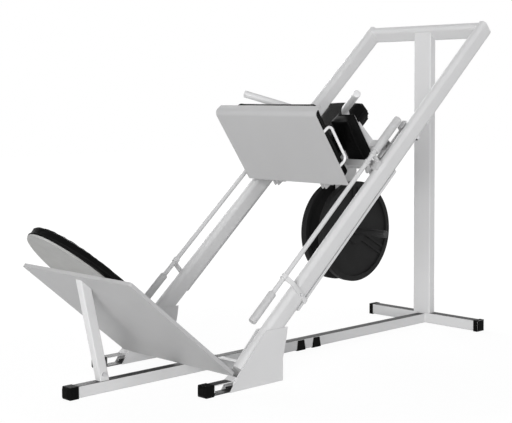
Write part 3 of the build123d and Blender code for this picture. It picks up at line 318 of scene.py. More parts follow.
def powder_coat(name, color, rough=(0.40, 0.50), top=None, band=None):
    """Powder coat: orange peel and faint clouds; top is a painted shade colour for faces that look up, and band
    gives it to what lies below that height.
    """
    mat, nt, p = principled(name, specular=0.06 if top else 0.3, coat=0.0 if top else 0.04)
    cloud = noise(nt, 3.0)
    paint = clouded(nt, cloud, color, 0.97, 1.018)
    if top:
        # Painted shade: faces whose normal looks up get the darker top colour
        normal = nt.nodes.new("ShaderNodeNewGeometry").outputs["Normal"]
        share = maths(nt, "GREATER_THAN", height_of(nt, normal), 0.8)
        if band:
            share = maths(nt, "MAXIMUM", share, maths(nt, "LESS_THAN", height_of(nt, place_in(nt)), band))
        mix = nt.nodes.new("ShaderNodeMix")
        mix.data_type = "RGBA"
        nt.links.new(share, mix.inputs["Factor"])
        nt.links.new(paint, mix.inputs["A"])
        nt.links.new(clouded(nt, cloud, top, 0.9, 1.1), mix.inputs["B"])
        paint = mix.outputs["Result"]
    cover(nt, p, paint, spread(nt, noise(nt, 22.0), *rough), bump(nt, noise(nt, 240.0, 2), 0.05, 0.0005))
    return mat


def rubber(name, color, rough=0.62):
    mat, nt, p = principled(name, specular=0.05)
    paint = clouded(nt, noise(nt, 30.0, 4, 0.6), color, 0.8, 1.25, 0.35)
    cover(nt, p, paint, rough, bump(nt, noise(nt, 420.0, 3, 0.65), 0.25, 0.0006))
    return mat


def vinyl(name, color):
    """Black upholstery vinyl: pebbled grain over a faint unevenness, softly glossy."""
    mat, nt, p = principled(name, specular=0.05)
    grain = nt.nodes.new("ShaderNodeTexVoronoi")
    grain.feature = "DISTANCE_TO_EDGE"
    grain.inputs["Scale"].default_value = 330.0
    nt.links.new(place_in(nt), grain.inputs["Vector"])
    pebbles = spread(nt, grain.outputs["Distance"], 0.0, 1.0, 0.0, 0.12)
    soft = bump(nt, noise(nt, 26.0), 0.18, 0.004)
    paint = clouded(nt, noise(nt, 14.0, 5, 0.6), color, 0.7, 1.6, 0.3, 0.75)
    cover(nt, p, paint, spread(nt, noise(nt, 40.0), 0.45, 0.6), bump(nt, pebbles, 0.2, 0.0005, soft))
    return mat


def cast_iron(name, color):
    mat, nt, p = principled(name, specular=0.10)
    coarse = bump(nt, noise(nt, 90.0, 4, 0.6), 0.2, 0.0012)
    fine = bump(nt, noise(nt, 620.0, 3, 0.6), 0.25, 0.0006, coarse)
    cover(nt, p, clouded(nt, noise(nt, 12.0, 5, 0.6), color, 0.85, 1.15), 0.62, fine)
    return mat


def steel(name, color):
    mat, nt, p = principled(name, metallic=1.0)
    paint = clouded(nt, noise(nt, 60.0), color, 0.85, 1.08)
    cover(nt, p, paint, spread(nt, noise(nt, 180.0), 0.22, 0.38), bump(nt, noise(nt, 300.0, 2), 0.06, 0.0003))
    return mat


def plywood(name, dark, light):
    mat, nt, p = principled(name, specular=0.35)
    paint = ramp(nt, noise(nt, 20.0, 4, 0.6), [(0.3, dark), (0.7, light)])
    cover(nt, p, paint, 0.6, bump(nt, noise(nt, 160.0), 0.06, 0.0005))
    return mat


def moulded(name, color, rough=0.45):
    mat, nt, p = principled(name, specular=0.2)
    paint = clouded(nt, noise(nt, 25.0), color, 0.9, 1.1)
    cover(nt, p, paint, rough, bump(nt, noise(nt, 200.0, 2), 0.06, 0.0004))
    return mat


def foam_sleeve(name, color):
    """Moulded grip sleeve with fine rings round the rod."""
    mat, nt, p = principled(name, specular=0.2)
    along = nt.nodes.new("ShaderNodeVectorRotate")
    along.rotation_type = "Y_AXIS"
    along.inputs["Angle"].default_value = RAIL_ANGLE
    nt.links.new(place_in(nt), along.inputs["Vector"])
    rings = nt.nodes.new("ShaderNodeTexWave")
    rings.wave_type = "BANDS"
    rings.bands_direction = "X"
    rings.inputs["Scale"].default_value = 60.0
    nt.links.new(along.outputs["Vector"], rings.inputs["Vector"])
    paint = clouded(nt, noise(nt, 30.0), color, 0.92, 1.06)
    cover(nt, p, paint, 0.55, bump(nt, rings.outputs["Fac"], 0.25, 0.0006))
    return mat


make_camera()
make_floor()
make_world()
for lamp in LAMPS:
    make_lamp(*lamp)
bpy.context.scene.view_settings.view_transform = "Standard"


def grey(v):
    return (v, v, v)


FRAME_GREY = grey(0.66)
# Painted shade: the colour of the up-facing faces of the floor tubes and foot stubs; the stubs also take it below
# STUB_BAND
PAINTED_TOP_SHADE = grey(0.055)
STUB_BAND = 0.014
SHEET_ROUGH = (0.46, 0.56)
M = {
    "frame": powder_coat("frame_grey", FRAME_GREY),
    # Floor tubes and foot stubs: frame grey, with painted shade on their up-facing faces
    "floor_tube": powder_coat("floor_tube_grey_painted_top_shade", FRAME_GREY, top=PAINTED_TOP_SHADE),
    "stub": powder_coat("foot_stub_grey_painted_top_shade", FRAME_GREY, top=PAINTED_TOP_SHADE, band=STUB_BAND),
    "rod": powder_coat("rod_grey", grey(0.62)),
    "bright": powder_coat("handle_grey", grey(0.80)),
    "plate": powder_coat("plate_grey", grey(0.49), SHEET_ROUGH),
    # Painted shade: the platform plate takes a darker copy of the frame grey, standing in for the shade on its
    # underside
    "shaded_platform": powder_coat("platform_grey_painted_shade", grey(0.47), SHEET_ROUGH),
    "sled": powder_coat("sled_grey", grey(0.56)),
    "dark": powder_coat("dark_paint", grey(0.03)),
    "cap": rubber("cap_rubber", grey(0.0022)),
    "vinyl": vinyl("black_vinyl", grey(0.0022)),
    "piping": rubber("piping_vinyl", grey(0.006), 0.45),
    "iron": cast_iron("disc_iron", grey(0.015)),
    "steel": steel("plain_steel", (0.62, 0.62, 0.63)),
    "board": plywood("pad_board_grain", (0.37, 0.37, 0.36), (0.40, 0.40, 0.39)),
    "black_board": moulded("black_board_face", grey(0.004), 0.6),
    "plug": moulded("grey_plug", grey(0.62)),
    "black_plug": moulded("black_plug", grey(0.02)),
    "grip": foam_sleeve("grip_sleeve", grey(0.54)),
}

NODE_MATERIALS = {
    "frame": [
        "upright_post", "top_crossbar", "rail_left", "rail_right", "rail_strips", "gussets",
        "front_cross_tubes", "front_strut", "strut_lug", "platform_tabs", "weight_carrier", "rod_straps",
        "horn_handle_left", "horn_handle_right", "shoulder_wedges",
    ],
    "floor_tube": ["spine", "rear_foot"],
    "stub": ["foot_stubs"],
    "rod": ["lock_rod_left", "lock_rod_right"],
    "bright": ["d_handles"],
    "plate": ["foot_plate", "hinge_bar"],
    "shaded_platform": ["platform_plate"],
    "sled": [
        "sled_sides", "sled_cross_tubes", "sled_centre_tubes", "sled_shoes", "fold_arms", "shoulder_plates",
        "rod_brackets", "lock_catch_left", "lock_catch_right",
    ],
    "dark": ["weight_horn", "horn_collars"],
    "cap": ["spine_cap", "spine_feet", "rear_foot_caps", "foot_stub_caps"],
    "iron": ["weight_disc_left", "weight_disc_right"],
    "steel": ["strut_bolt", "strap_nubs", "roller_axles", "fold_pins"],
    "board": ["pad_board"],
    "black_board": ["head_board", "hack_board"],
    "plug": ["rail_plugs", "horn_plugs"],
    "black_plug": ["rollers_front", "rollers_rear"],
    "grip": ["rod_grips_left", "rod_grips_right"],
}
for key, names in NODE_MATERIALS.items():
    for name in names:
        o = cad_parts[name]
        for s in o.material_slots:
            s.material = M[key]


# Mesh helpers
def link(name, mesh, mat, body):
    """A smooth-shaded piece that rides on a body."""
    o = bpy.data.objects.new(name, mesh)
    bpy.context.scene.collection.objects.link(o)
    mesh.materials.clear()
    mesh.materials.append(mat)
    for p in mesh.polygons:
        p.use_smooth = True
    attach(o, body)
    return o


def to_mesh(bm, name):
    mesh = bpy.data.meshes.new(name)
    bm.to_mesh(mesh)
    bm.free()
    return mesh


def ring(bm, centre, u, v, radius, sides):
    """Corners on a circle round centre, in the plane of u and v."""
    turns = [k * math.tau / sides for k in range(sides)]
    return [bm.verts.new(centre + (u * math.cos(a) + v * math.sin(a)) * radius) for a in turns]


def skin(bm, rings, closed=False):
    """Faces from ring to ring; open ends get a cap."""
    for a, b in zip(rings, rings[1:] + rings[:1] if closed else rings[1:]):
        for k in range(len(a)):
            after = (k + 1) % len(a)
            bm.faces.new((a[k], a[after], b[after], b[k]))
    if not closed:
        bm.faces.new(list(reversed(rings[0])))
        bm.faces.new(rings[-1])
    bmesh.ops.recalc_face_normals(bm, faces=bm.faces)


RIPPLE_TURN = 2.1


def sweep(name, points, radius, mat, body, sides, closed=False, ripple=0.0):
    """A round tube along points, with an optional weld ripple."""
    n = len(points)
    bm = bmesh.new()
    rings = []
    normal = None
    for i, p in enumerate(points):
        a = points[(i - 1) % n] if closed or i else p
        b = points[(i + 1) % n] if closed or i < n - 1 else p
        tangent = (b - a).normalized()
        if normal is None:
            normal = tangent.orthogonal().normalized()
        else:
            normal = (normal - tangent * normal.dot(tangent)).normalized()
        r = radius * (1 + ripple * math.sin(i * RIPPLE_TURN))
        rings.append(ring(bm, p, normal, tangent.cross(normal), r, sides))
    skin(bm, rings, closed)
    return link(name, to_mesh(bm, name), mat, body)


BROKEN_EDGE = 0.0015


def prism(name, outline, y0, y1, mat, body):
    """A plate cut to an outline in the XZ plane, with its edges broken."""
    bm = bmesh.new()
    face = bm.faces.new([bm.verts.new((p.x, y0, p.z)) for p in outline])
    out = bmesh.ops.extrude_face_region(bm, geom=[face])
    moved = [g for g in out["geom"] if isinstance(g, bmesh.types.BMVert)]
    bmesh.ops.translate(bm, verts=moved, vec=(0, y1 - y0, 0))
    bmesh.ops.recalc_face_normals(bm, faces=bm.faces)
    bmesh.ops.bevel(bm, geom=bm.edges[:], offset=BROKEN_EDGE, segments=2, affect="EDGES")
    mesh = to_mesh(bm, name)
    o = link(name, mesh, mat, body)
    mesh.set_sharp_from_angle(angle=math.radians(35))
    return o


# Fitted pieces: copies of CAD solids whose points are moved a little to meet the photograph more closely.
# A pair of measures is the solid's and then the seen one. A point counts as being at a place within these distances.
NEAR_NOSE, NEAR_TUBE_END, NEAR_STRUT_TOP = 0.002, 0.01, 0.0015


def fitted(node, body, slot, fit, keep=None):
    """A copy of a node with its points moved by fit, without those that keep turns down."""
    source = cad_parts[node]
    if keep:
        bm = bmesh.new()
        bm.from_mesh(source.data)
        bmesh.ops.delete(bm, geom=[v for v in bm.verts if not keep(v.co)], context="VERTS")
        mesh = to_mesh(bm, node + "_fitted")
        mesh.materials.append(source.material_slots[0].material)
    else:
        mesh = source.data.copy()
    for v in mesh.vertices:
        v.co = fit(v.co.copy())
    if keep:
        mesh.shade_smooth()
        mesh.set_sharp_from_angle(angle=math.radians(30))
    o = bpy.data.objects.new(node + "_fitted", mesh)
    bpy.context.scene.collection.objects.link(o)
    if body:
        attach(o, body)
        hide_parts(node)
    return o


def resized(value, pair):
    """value times the seen measure over the solid's."""
    return value * pair[1] / pair[0]


PLATFORM_HALF = (0.345, 0.340)


def fit_platform(p):
    s, y, h = SOLID.local(p)
    return SEEN.point(resized(s, (SOLID.length, SEEN.length)), resized(y, PLATFORM_HALF), h)


# The back pad: where its arched end begins, the length of its straight part, and the measures of its two pieces
PAD_ARCH = (0.060, 0.084)
PAD_STRAIGHT = (0.500, 0.476)
BOARD_ARCH, BOARD_HALF, BOARD_THICKNESS = (0.322, 0.319), (0.178, 0.166), (0.012, 0.008)
CUSHION_ARCH, CUSHION_HALF, CUSHION_HEIGHT = (0.315, 0.317), (0.200, 0.194), (0.039, 0.041)
PLATFORM_FACE = (0.0, 0.0)


def fit_pad(arch, half, base, height):
    """For a piece with these pairs: arch length, half width, base above the platform, height."""
    def fit(p):
        s, y, h = SOLID.local(p)
        along = PAD_ARCH[1] + resized(s - PAD_ARCH[0], arch if s < PAD_ARCH[0] else PAD_STRAIGHT)
        return SEEN.point(along, resized(y, half), base[1] + resized(h - base[0], height))
    return fit


fit_pad_board = fit_pad(BOARD_ARCH, BOARD_HALF, PLATFORM_FACE, BOARD_THICKNESS)
fit_cushion = fit_pad(CUSHION_ARCH, CUSHION_HALF, BOARD_THICKNESS, CUSHION_HEIGHT)

STRUT_LEAN = math.radians(12)
STRUT = Vector((-math.sin(STRUT_LEAN), 0, math.cos(STRUT_LEAN)))
STRUT_TOP = -0.014


def fit_strut(p):
    """The strut's cut top slides along the strut until it meets the fitted platform."""
    if SOLID.local(p)[2] > STRUT_TOP - NEAR_STRUT_TOP:
        q = p - SEEN.point(0, 0, STRUT_TOP)
        return p - STRUT * (q.dot(SEEN.u) / STRUT.dot(SEEN.u))
    return p


def fit_nose(p):
    """The gussets' noses meet the fitted platform's lower edge."""
    if (p.xz - SOLID.foot.xz).length < NEAR_NOSE:
        return Vector((SEEN.foot.x, p.y, SEEN.foot.z))
    return p


TAB_MOVE = Vector((0.0087, 0, -0.013))
TAB_LOW = 0.0431


def fit_tab(p):
    q = p + TAB_MOVE
    return Vector((q.x, q.y, max(q.z, TAB_LOW)))


# The spine and the foot stubs grow at their front ends, and their caps go with them
SPINE_FRONT, SPINE_LONGER = RAIL_FOOT.x - 0.44, 0.035
STUB_FRONT, STUB_LONGER = RAIL_FOOT.x - 0.09, 0.025


def forward(by, ahead_of=math.inf):
    return lambda p: p - Vector((by, 0, 0)) if p.x < ahead_of else p


REAR_CAP_END = (0.363, 0.338)
REAR_CAP_LENGTH = (0.060, 0.026)


def fit_rear_cap(p):
    y = REAR_CAP_END[1] - resized(REAR_CAP_END[0] - abs(p.y), REAR_CAP_LENGTH)
    return Vector((p.x, math.copysign(y, p.y), p.z))


SHOE_HEIGHT = (0.014, 0.006)


def fit_shoe(p):
    t, y, h = rail_local(p)
    return rail(t, y, resized(h, SHOE_HEIGHT) if h > 0 else h)


# The hack pad and its board stand further behind the foot plate
HACK_FACE = (0.016, 0.049)
HACK_DEPTH = (0.056, 0.049)
HACK_TOP = (0.356, 0.359)
HACK_LENGTH = (0.360, 0.371)
HACK_HALF = (0.250, 0.244)


def fit_hack_board(p):
    w, v, y = plate_local(p)
    return plate(w + HACK_FACE[1] - HACK_FACE[0], v, y)


def fit_hack(p):
    w, v, y = plate_local(p)
    return plate(
        HACK_FACE[1] + resized(w - HACK_FACE[0], HACK_DEPTH),
        HACK_TOP[1] - resized(HACK_TOP[0] - v, HACK_LENGTH),
        resized(y, HACK_HALF),
    )


# The shoulder pads: the place of their faces up the rails, their depth, lower end and height
SHOULDER_FACE = 1.1395
SHOULDER_DEPTH = (0.056, 0.062)
SHOULDER_LOW = (-0.020, -0.028)
SHOULDER_HEIGHT = (0.202, 0.232)
SHOULDER_DROP = 0.018
SHOULDER_FOOT = rail(SHOULDER_FACE, 0, SHOULDER_LOW[1]) + PW * SHOULDER_DEPTH[1] - PV * SHOULDER_DROP


def fit_shoulder(p):
    """From square to the rails to parallel with the foot plate."""
    t, y, h = rail_local(p)
    w = t - SHOULDER_FACE - SHOULDER_DEPTH[0]
    if w < 0:
        w = resized(w, SHOULDER_DEPTH)
    return SHOULDER_FOOT + PV * resized(h - SHOULDER_LOW[0], SHOULDER_HEIGHT) + PW * w + Y * y


# The middle cross tube and what stands on it move up the rails; the front one gets lower
MID_MOVE = 0.0104
MID_TUBE_FROM, REAR_TUBE_FROM = 1.15, 1.30
FRONT_TUBE_BASE = -0.027
FRONT_TUBE_HEIGHT = (0.030, 0.018)
CENTRE_TUBE_START = 1.2405
WEDGE_HEIGHT = 0.116
WEDGE_CORNER_T, WEDGE_CORNER_H = 1.21, 0.1


def fit_wedge(p):
    """The wedge's upper corner leans with the shoulder plate it holds."""
    t, y, h = rail_local(p)
    lean = WEDGE_HEIGHT * math.tan(PLATE_TILT) if h > WEDGE_CORNER_H and t < WEDGE_CORNER_T else 0.0
    return rail(t + MID_MOVE + lean, y, h)


def fit_cross(p):
    t, y, h = rail_local(p)
    if t > MID_TUBE_FROM:
        return rail(t + MID_MOVE, y, h)
    return rail(t, y, FRONT_TUBE_BASE + resized(h - FRONT_TUBE_BASE, FRONT_TUBE_HEIGHT))


def before_rear_tube(p):
    return rail_local(p)[0] < REAR_TUBE_FROM


def fit_centre(p):
    t, y, h = rail_local(p)
    return rail(t + (MID_MOVE if abs(t - CENTRE_TUBE_START) < NEAR_TUBE_END else 0.0), y, h)


def rounder(du, dv, half_u, half_v, old, new):
    """Moves a tube's corner arcs, measured from its axis, from the old radius to the new one."""
    u, v = abs(du) - (half_u - old), abs(dv) - (half_v - old)
    if u > -1e-5 and v > -1e-5:
        reach = max(math.hypot(u, v), 1e-6)
        grow = (new - old + reach) / reach
        du = math.copysign(half_u - new + u * grow, du)
        dv = math.copysign(half_v - new + v * grow, dv)
    return du, dv


SEEN_RAIL_CORNER = 0.019


def fit_rail(inset=0.0):
    """Rounds the rails, or what lies inset in their ends."""
    def fit(p):
        t, y, h = rail_local(p)
        middle = math.copysign(RAIL_Y, y)
        half, depth = RAIL_HALF - inset, RAIL_HALF_DEPTH - inset
        old, new = RAIL_CORNER - inset, SEEN_RAIL_CORNER - inset
        dy, dh = rounder(y - middle, h - RAIL_MID, half, depth, old, new)
        return rail(t, middle + dy, RAIL_MID + dh)
    return fit


PLUG_INSET = RAIL_HALF - max(abs(abs(v.co.y) - RAIL_Y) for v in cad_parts["rail_plugs"].data.vertices)
CROSSBAR_HALF = 0.020
CROSSBAR_MID = max(rail_local(v.co)[0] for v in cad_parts["top_crossbar"].data.vertices) - CROSSBAR_HALF
SEEN_CROSSBAR_CORNER = 0.017
CROSSBAR_REACH = 0.014


def fit_crossbar(p):
    """Rounded like the rails, its ends reach into their rounded sides."""
    t, y, h = rail_local(p)
    dt, dh = rounder(
        t - CROSSBAR_MID, h - RAIL_MID, CROSSBAR_HALF, RAIL_HALF_DEPTH, RAIL_CORNER, SEEN_CROSSBAR_CORNER
    )
    return rail(CROSSBAR_MID + dt, y + math.copysign(CROSSBAR_REACH, y), RAIL_MID + dh)


HEAD_BOARD_BASE = 0.003


def fit_head_board(p):
    t, y, h = rail_local(p)
    return rail(t, y, HEAD_BOARD_BASE + resized(h - HEAD_BOARD_BASE, BOARD_THICKNESS))


# Each piece: node, body, slot and fit, and last which points it keeps, where that isn't all
FITTED = [
    ("platform_plate", "frame", "frame_paint", fit_platform),
    ("platform_tabs", "frame", "frame_paint", fit_tab),
    ("rail_left", "frame", "frame_paint", fit_rail()),
    ("rail_plugs", "frame", "plastic", fit_rail(PLUG_INSET)),
    ("top_crossbar", "frame", "frame_paint", fit_crossbar),
    ("rail_right", "frame", "frame_paint", fit_rail()),
    ("pad_board", "frame", "board", fit_pad_board),
    ("front_strut", "frame", "frame_paint", fit_strut),
    ("gussets", "frame", "frame_paint", fit_nose),
    ("spine", "frame", "frame_paint", forward(SPINE_LONGER, SPINE_FRONT)),
    ("spine_cap", "frame", "cap_rubber", forward(SPINE_LONGER)),
    ("foot_stubs", "frame", "frame_paint", forward(STUB_LONGER, STUB_FRONT)),
    ("foot_stub_caps", "frame", "cap_rubber", forward(STUB_LONGER)),
    ("rear_foot_caps", "frame", "cap_rubber", fit_rear_cap),
    ("sled_shoes", "sled", "sled_paint", fit_shoe),
    ("hack_board", "foot_plate", "black_board", fit_hack_board),
    ("shoulder_plates", "sled", "sled_paint", fit_shoulder),
    ("shoulder_wedges", "sled", "frame_paint", fit_wedge),
    ("sled_cross_tubes", "sled", "sled_paint", fit_cross, before_rear_tube),
    ("sled_centre_tubes", "sled", "sled_paint", fit_centre),
    ("head_board", "sled", "black_board", fit_head_board),
]
for piece in FITTED:
    fitted(*piece)

# The sled's side plates stay below the rails' upper faces apart from their front lugs and the shoes' ears
SIDE_START, SIDE_END = 1.062, 1.402
SIDE_LOW, SIDE_TOP = -0.116, -0.010
SIDE_CORNER = 0.026
SIDE_THICKNESS, SIDE_GAP = 0.008, 0.008
SIDE_INNER = RAIL_Y - RAIL_HALF - SIDE_GAP - SIDE_THICKNESS
LUG_LENGTH, LUG_TOP = 0.052, 0.020
EARS, EAR_HALF, EAR_TOP = (1.165, 1.350), 0.023, 0.006
# A block on each lug's outer face lies over the rail
BLOCK_LENGTH, BLOCK_LOW, BLOCK_DEPTH = 0.020, 0.004, 0.013

side_line = [
    (SIDE_START + SIDE_CORNER, SIDE_LOW), (SIDE_START, SIDE_LOW + SIDE_CORNER), (SIDE_START, LUG_TOP),
    (SIDE_START + LUG_LENGTH, LUG_TOP), (SIDE_START + LUG_LENGTH, SIDE_TOP),
]
for ear in EARS:
    front, rear = ear - EAR_HALF, ear + EAR_HALF
    side_line += [(front, SIDE_TOP), (front, EAR_TOP), (rear, EAR_TOP), (rear, SIDE_TOP)]
side_line += [
    (SIDE_END - SIDE_CORNER, SIDE_TOP), (SIDE_END, SIDE_TOP - SIDE_CORNER), (SIDE_END, SIDE_LOW + SIDE_CORNER),
    (SIDE_END - SIDE_CORNER, SIDE_LOW),
]
side_line = [rail(t, 0, h) for t, h in side_line]
block_ends = ((0, BLOCK_LOW), (0, LUG_TOP), (BLOCK_LENGTH, LUG_TOP), (BLOCK_LENGTH, BLOCK_LOW))
block_line = [rail(SIDE_START + t, 0, h) for t, h in block_ends]
for side, sign in (("left", 1), ("right", -1)):
    inner, outer = sign * SIDE_INNER, sign * (SIDE_INNER + SIDE_THICKNESS)
    over = sign * (SIDE_INNER + SIDE_THICKNESS + BLOCK_DEPTH)
    side_plate = prism(f"side_plate_{side}", side_line, inner, outer, M["sled"], "sled")
    block = prism(f"side_lug_{side}", block_line, outer, over, M["sled"], "sled")
    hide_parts("sled_sides")
    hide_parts("sled_sides")

# Two battens carry the hack pad's board behind the foot plate
BATTEN_LOWS, BATTEN_WIDTH, BATTEN_HALF = (0.034, 0.286), 0.036, 0.196
BATTEN_FRONT, BATTEN_BACK = 0.004, 0.0375
for k, low in enumerate(BATTEN_LOWS):
    high = low + BATTEN_WIDTH
    corners = ((BATTEN_FRONT, low), (BATTEN_BACK, low), (BATTEN_BACK, high), (BATTEN_FRONT, high))
    batten_line = [plate(w, v, 0) for w, v in corners]
    name = f"hack_batten_{k}"
    prism(name, batten_line, -BATTEN_HALF, BATTEN_HALF, M["black_board"], "foot_plate")


def line(a, b, step):
    n = max(2, int((b - a).length / step))
    return [a.lerp(b, i / n) for i in range(n + 1)]


def slerp(p, q, t):
    a = p.angle(q)
    return (p * math.sin((1 - t) * a) + q * math.sin(t * a)) / math.sin(a)


ARC_STEP, STRAIGHT_STEP = 0.006, 0.02


def rounded_path(corners, radius):
    """Straight runs joined by arcs of one radius."""
    out = [corners[0]]
    for a, b, c in zip(corners, corners[1:], corners[2:]):
        u, v = (a - b).normalized(), (c - b).normalized()
        half = u.angle(v) / 2
        back = radius / math.tan(half)
        centre = b + (u + v).normalized() * (radius / math.sin(half))
        p, q = b + u * back - centre, b + v * back - centre
        n = max(4, int(p.angle(q) * radius / ARC_STEP))
        out += line(out[-1], centre + p, STRAIGHT_STEP)[1:-1]
        out += [centre + slerp(p, q, i / n) for i in range(n + 1)]
    return out + line(out[-1], corners[-1], STRAIGHT_STEP)[1:]


# Bent tube handles, with a domed plug in each open end: the plug's profile is its radius and how far it stands out
HANDLE_CORNERS = ((1.229, 0.1426, 0.002), (1.252, 0.1314, 0.168), (1.1913, 0.338, 0.321))
HANDLE_BEND, HANDLE_RADIUS, HANDLE_SIDES = 0.0685, 0.016, 28
DOME = ((0.0158, -0.002), (0.0158, 0.0022), (0.0150, 0.0034), (0.0136, 0.0042), (0.006, 0.0048))
for side, sign in (("left", 1), ("right", -1)):
    corners = [rail(t, sign * y, h) for t, y, h in HANDLE_CORNERS]
    path = rounded_path(corners, HANDLE_BEND)
    tube = sweep(f"bent_handle_{side}", path, HANDLE_RADIUS, M["frame"], "sled", HANDLE_SIDES)
    tube.data.set_sharp_from_angle(angle=math.radians(40))
    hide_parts(f"horn_handle_{side}")
    out = (corners[2] - corners[1]).normalized()
    u = out.orthogonal().normalized()
    v = out.cross(u)
    bm = bmesh.new()
    skin(bm, [ring(bm, corners[2] + out * d, u, v, r, HANDLE_SIDES) for r, d in DOME])
    name = f"handle_plug_{side}"
    plug = link(name, to_mesh(bm, name), M["plug"], "sled")
    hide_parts("horn_plugs")


# Weld beads: wherever an outer edge of one solid lies on another solid, a rippled bead runs along it
def solid_tree(name):
    o = bpy.data.objects.get(name + "_fitted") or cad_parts[name]
    bm = bmesh.new()
    bm.from_mesh(o.data)
    bm.transform(o.matrix_world)
    bmesh.ops.remove_doubles(bm, verts=bm.verts, dist=1e-5)
    bm.normal_update()
    return bm, BVHTree.FromBMesh(bm)


def chains(pairs):
    """Join pairs of keys into runs; a run whose ends meet is closed."""
    near = {}
    for a, b in pairs:
        near.setdefault(a, []).append(b)
        near.setdefault(b, []).append(a)
    left = {frozenset(p) for p in pairs}
    runs = []
    ends = [k for k, v in near.items() if len(v) != 2]
    for start in ends + list(near):
        while True:
            run = [start]
            while True:
                onward = [k for k in near[run[-1]] if frozenset((run[-1], k)) in left]
                if not onward:
                    break
                left.discard(frozenset((run[-1], onward[0])))
                run.append(onward[0])
                if len(near[onward[0]]) != 2:
                    break
            if len(run) < 2:
                break
            runs.append(run)
    return runs


def runs_of(bm, edges):
    """The edges joined into runs: each run's points, and whether it is closed."""
    pairs = [(e.verts[0].index, e.verts[1].index) for e in edges]
    bm.verts.ensure_lookup_table()
    out = []
    for run in chains(pairs):
        closed = run[0] == run[-1]
        out.append(([bm.verts[i].co.copy() for i in (run[:-1] if closed else run)], closed))
    return out


def length_of(points):
    return sum((b - a).length for a, b in zip(points, points[1:]))


def spaced(points, step, closed):
    """The same run with its points a step apart."""
    pts = points + [points[0]] if closed and (points[0] - points[-1]).length > 1e-6 else list(points)
    n = max(3 if closed else 2, round(length_of(pts) / step))
    gap = length_of(pts) / n
    out, walked, i = [pts[0]], 0.0, 0
    for k in range(1, n if closed else n + 1):
        want = gap * k
        while i < len(pts) - 2 and walked + (pts[i + 1] - pts[i]).length < want - 1e-9:
            walked += (pts[i + 1] - pts[i]).length
            i += 1
        span = (pts[i + 1] - pts[i]).length
        out.append(pts[i].lerp(pts[i + 1], min(1.0, (want - walked) / span) if span else 0.0))
    return out


WELD_RADIUS, WELD_STEP, WELD_RIPPLE, SHORTEST_WELD = 0.0026, 0.0035, 0.12, 0.018
# Solids touch within this distance; an edge is sharp from this angle on, and open with this much room before it
TOUCH, SHARP_EDGE, ROOM = 0.0005, 0.5, 0.11
# Where along an edge it is tested, and how far off its own face the test for room begins
TESTED, CLEARANCE = (0.02, 0.5, 0.98), 0.0004
# Edges below this height would carry their bead into the floor
FLOOR_EDGE = 0.006


def welded_edge(e, tree, other_tree):
    """Whether e is a sharp edge that lies on the other solid and can be reached from outside."""
    if len(e.link_faces) != 2 or e.calc_face_angle(0.0) < SHARP_EDGE:
        return False
    a, b = e.verts[0].co, e.verts[1].co
    if any(other_tree.find_nearest(a.lerp(b, t), TOUCH)[0] is None for t in TESTED):
        return False
    mid = a.lerp(b, 0.5)
    for f in e.link_faces:
        if other_tree.find_nearest(f.calc_center_median(), TOUCH)[0] is not None:
            continue
        if tree.ray_cast(mid + f.normal * CLEARANCE, f.normal, ROOM)[0] is not None:
            return False
    return mid.z > FLOOR_EDGE


def welds(first, second, body, mat):
    bm, tree = solid_tree(first)
    other, other_tree = solid_tree(second)
    runs = runs_of(bm, [e for e in bm.edges if welded_edge(e, tree, other_tree)])
    bm.free()
    other.free()
    for n, (points, closed) in enumerate(runs):
        if length_of(points) >= SHORTEST_WELD:
            path = spaced(points, WELD_STEP, closed)
            sweep(f"weld_{first}_{second}_{n}", path, WELD_RADIUS, mat, body, 6, closed, WELD_RIPPLE)


WELDS = [
    ("upright_post", "spine", "frame"), ("spine", "rear_foot", "frame"), ("front_cross_tubes", "spine", "frame"),
    ("front_cross_tubes", "gussets", "frame"), ("gussets", "rail_left", "frame"), ("gussets", "rail_right", "frame"),
    ("foot_stubs", "gussets", "frame"), ("strut_lug", "spine", "frame"),
    ("sled_centre_tubes", "sled_cross_tubes", "sled"), ("weight_carrier", "sled_centre_tubes", "sled"),
    ("shoulder_wedges", "shoulder_plates", "sled"), ("shoulder_wedges", "sled_centre_tubes", "sled"),
    ("shoulder_wedges", "sled_cross_tubes", "sled"),
]
for first, second, body in WELDS:
    welds(first, second, body, M[body])


# Upholstery: a remeshed copy of each CAD cushion, blown up by a short cloth simulation
HEAD_MID, HEAD_LENGTH, HEAD_WIDTH, HEAD_HEIGHT = 1.2385, 0.336, 0.218, 0.085
HEAD_BASE, HEAD_CORNER = 0.011, 0.015
SHRINK = 0.002
# The lowest part of a cushion is held by its board, and above it the cloth comes free little by little
PINNED, FREE = 0.006, 0.010
CLOTH_FRAMES = 20


def sharp_head_pad():
    """A firm block between the rails with small rounded edges."""
    bm = bmesh.new()
    bmesh.ops.create_cube(bm, size=1.0)
    for v in bm.verts:
        x, y, z = v.co
        v.co = rail(HEAD_MID + x * HEAD_LENGTH, y * HEAD_WIDTH, HEAD_BASE + (z + 0.5) * HEAD_HEIGHT)
    bmesh.ops.bevel(bm, geom=bm.edges[:], offset=HEAD_CORNER, segments=4, affect="EDGES")
    o = bpy.data.objects.new("head_block", to_mesh(bm, "head_block"))
    bpy.context.scene.collection.objects.link(o)
    return o


def apply(o):
    dg = bpy.context.evaluated_depsgraph_get()
    dg.update()
    mesh = bpy.data.meshes.new_from_object(o.evaluated_get(dg), depsgraph=dg)
    o.modifiers.clear()
    old = o.data
    o.data = mesh
    bpy.data.meshes.remove(old)


def smooth(o, name, rounds):
    mod = o.modifiers.new(name, "SMOOTH")
    mod.factor = 0.5
    mod.iterations = rounds


def remesh(o, source, voxel):
    """Even faces over the cushion, drawn back to the source's surface."""
    mod = o.modifiers.new("remesh", "REMESH")
    mod.mode = "VOXEL"
    mod.voxel_size = voxel
    mod.use_smooth_shade = True
    smooth(o, "relax", 4)
    wrap = o.modifiers.new("wrap", "SHRINKWRAP")
    wrap.target = source
    wrap.wrap_method = "NEAREST_SURFACEPOINT"
    apply(o)


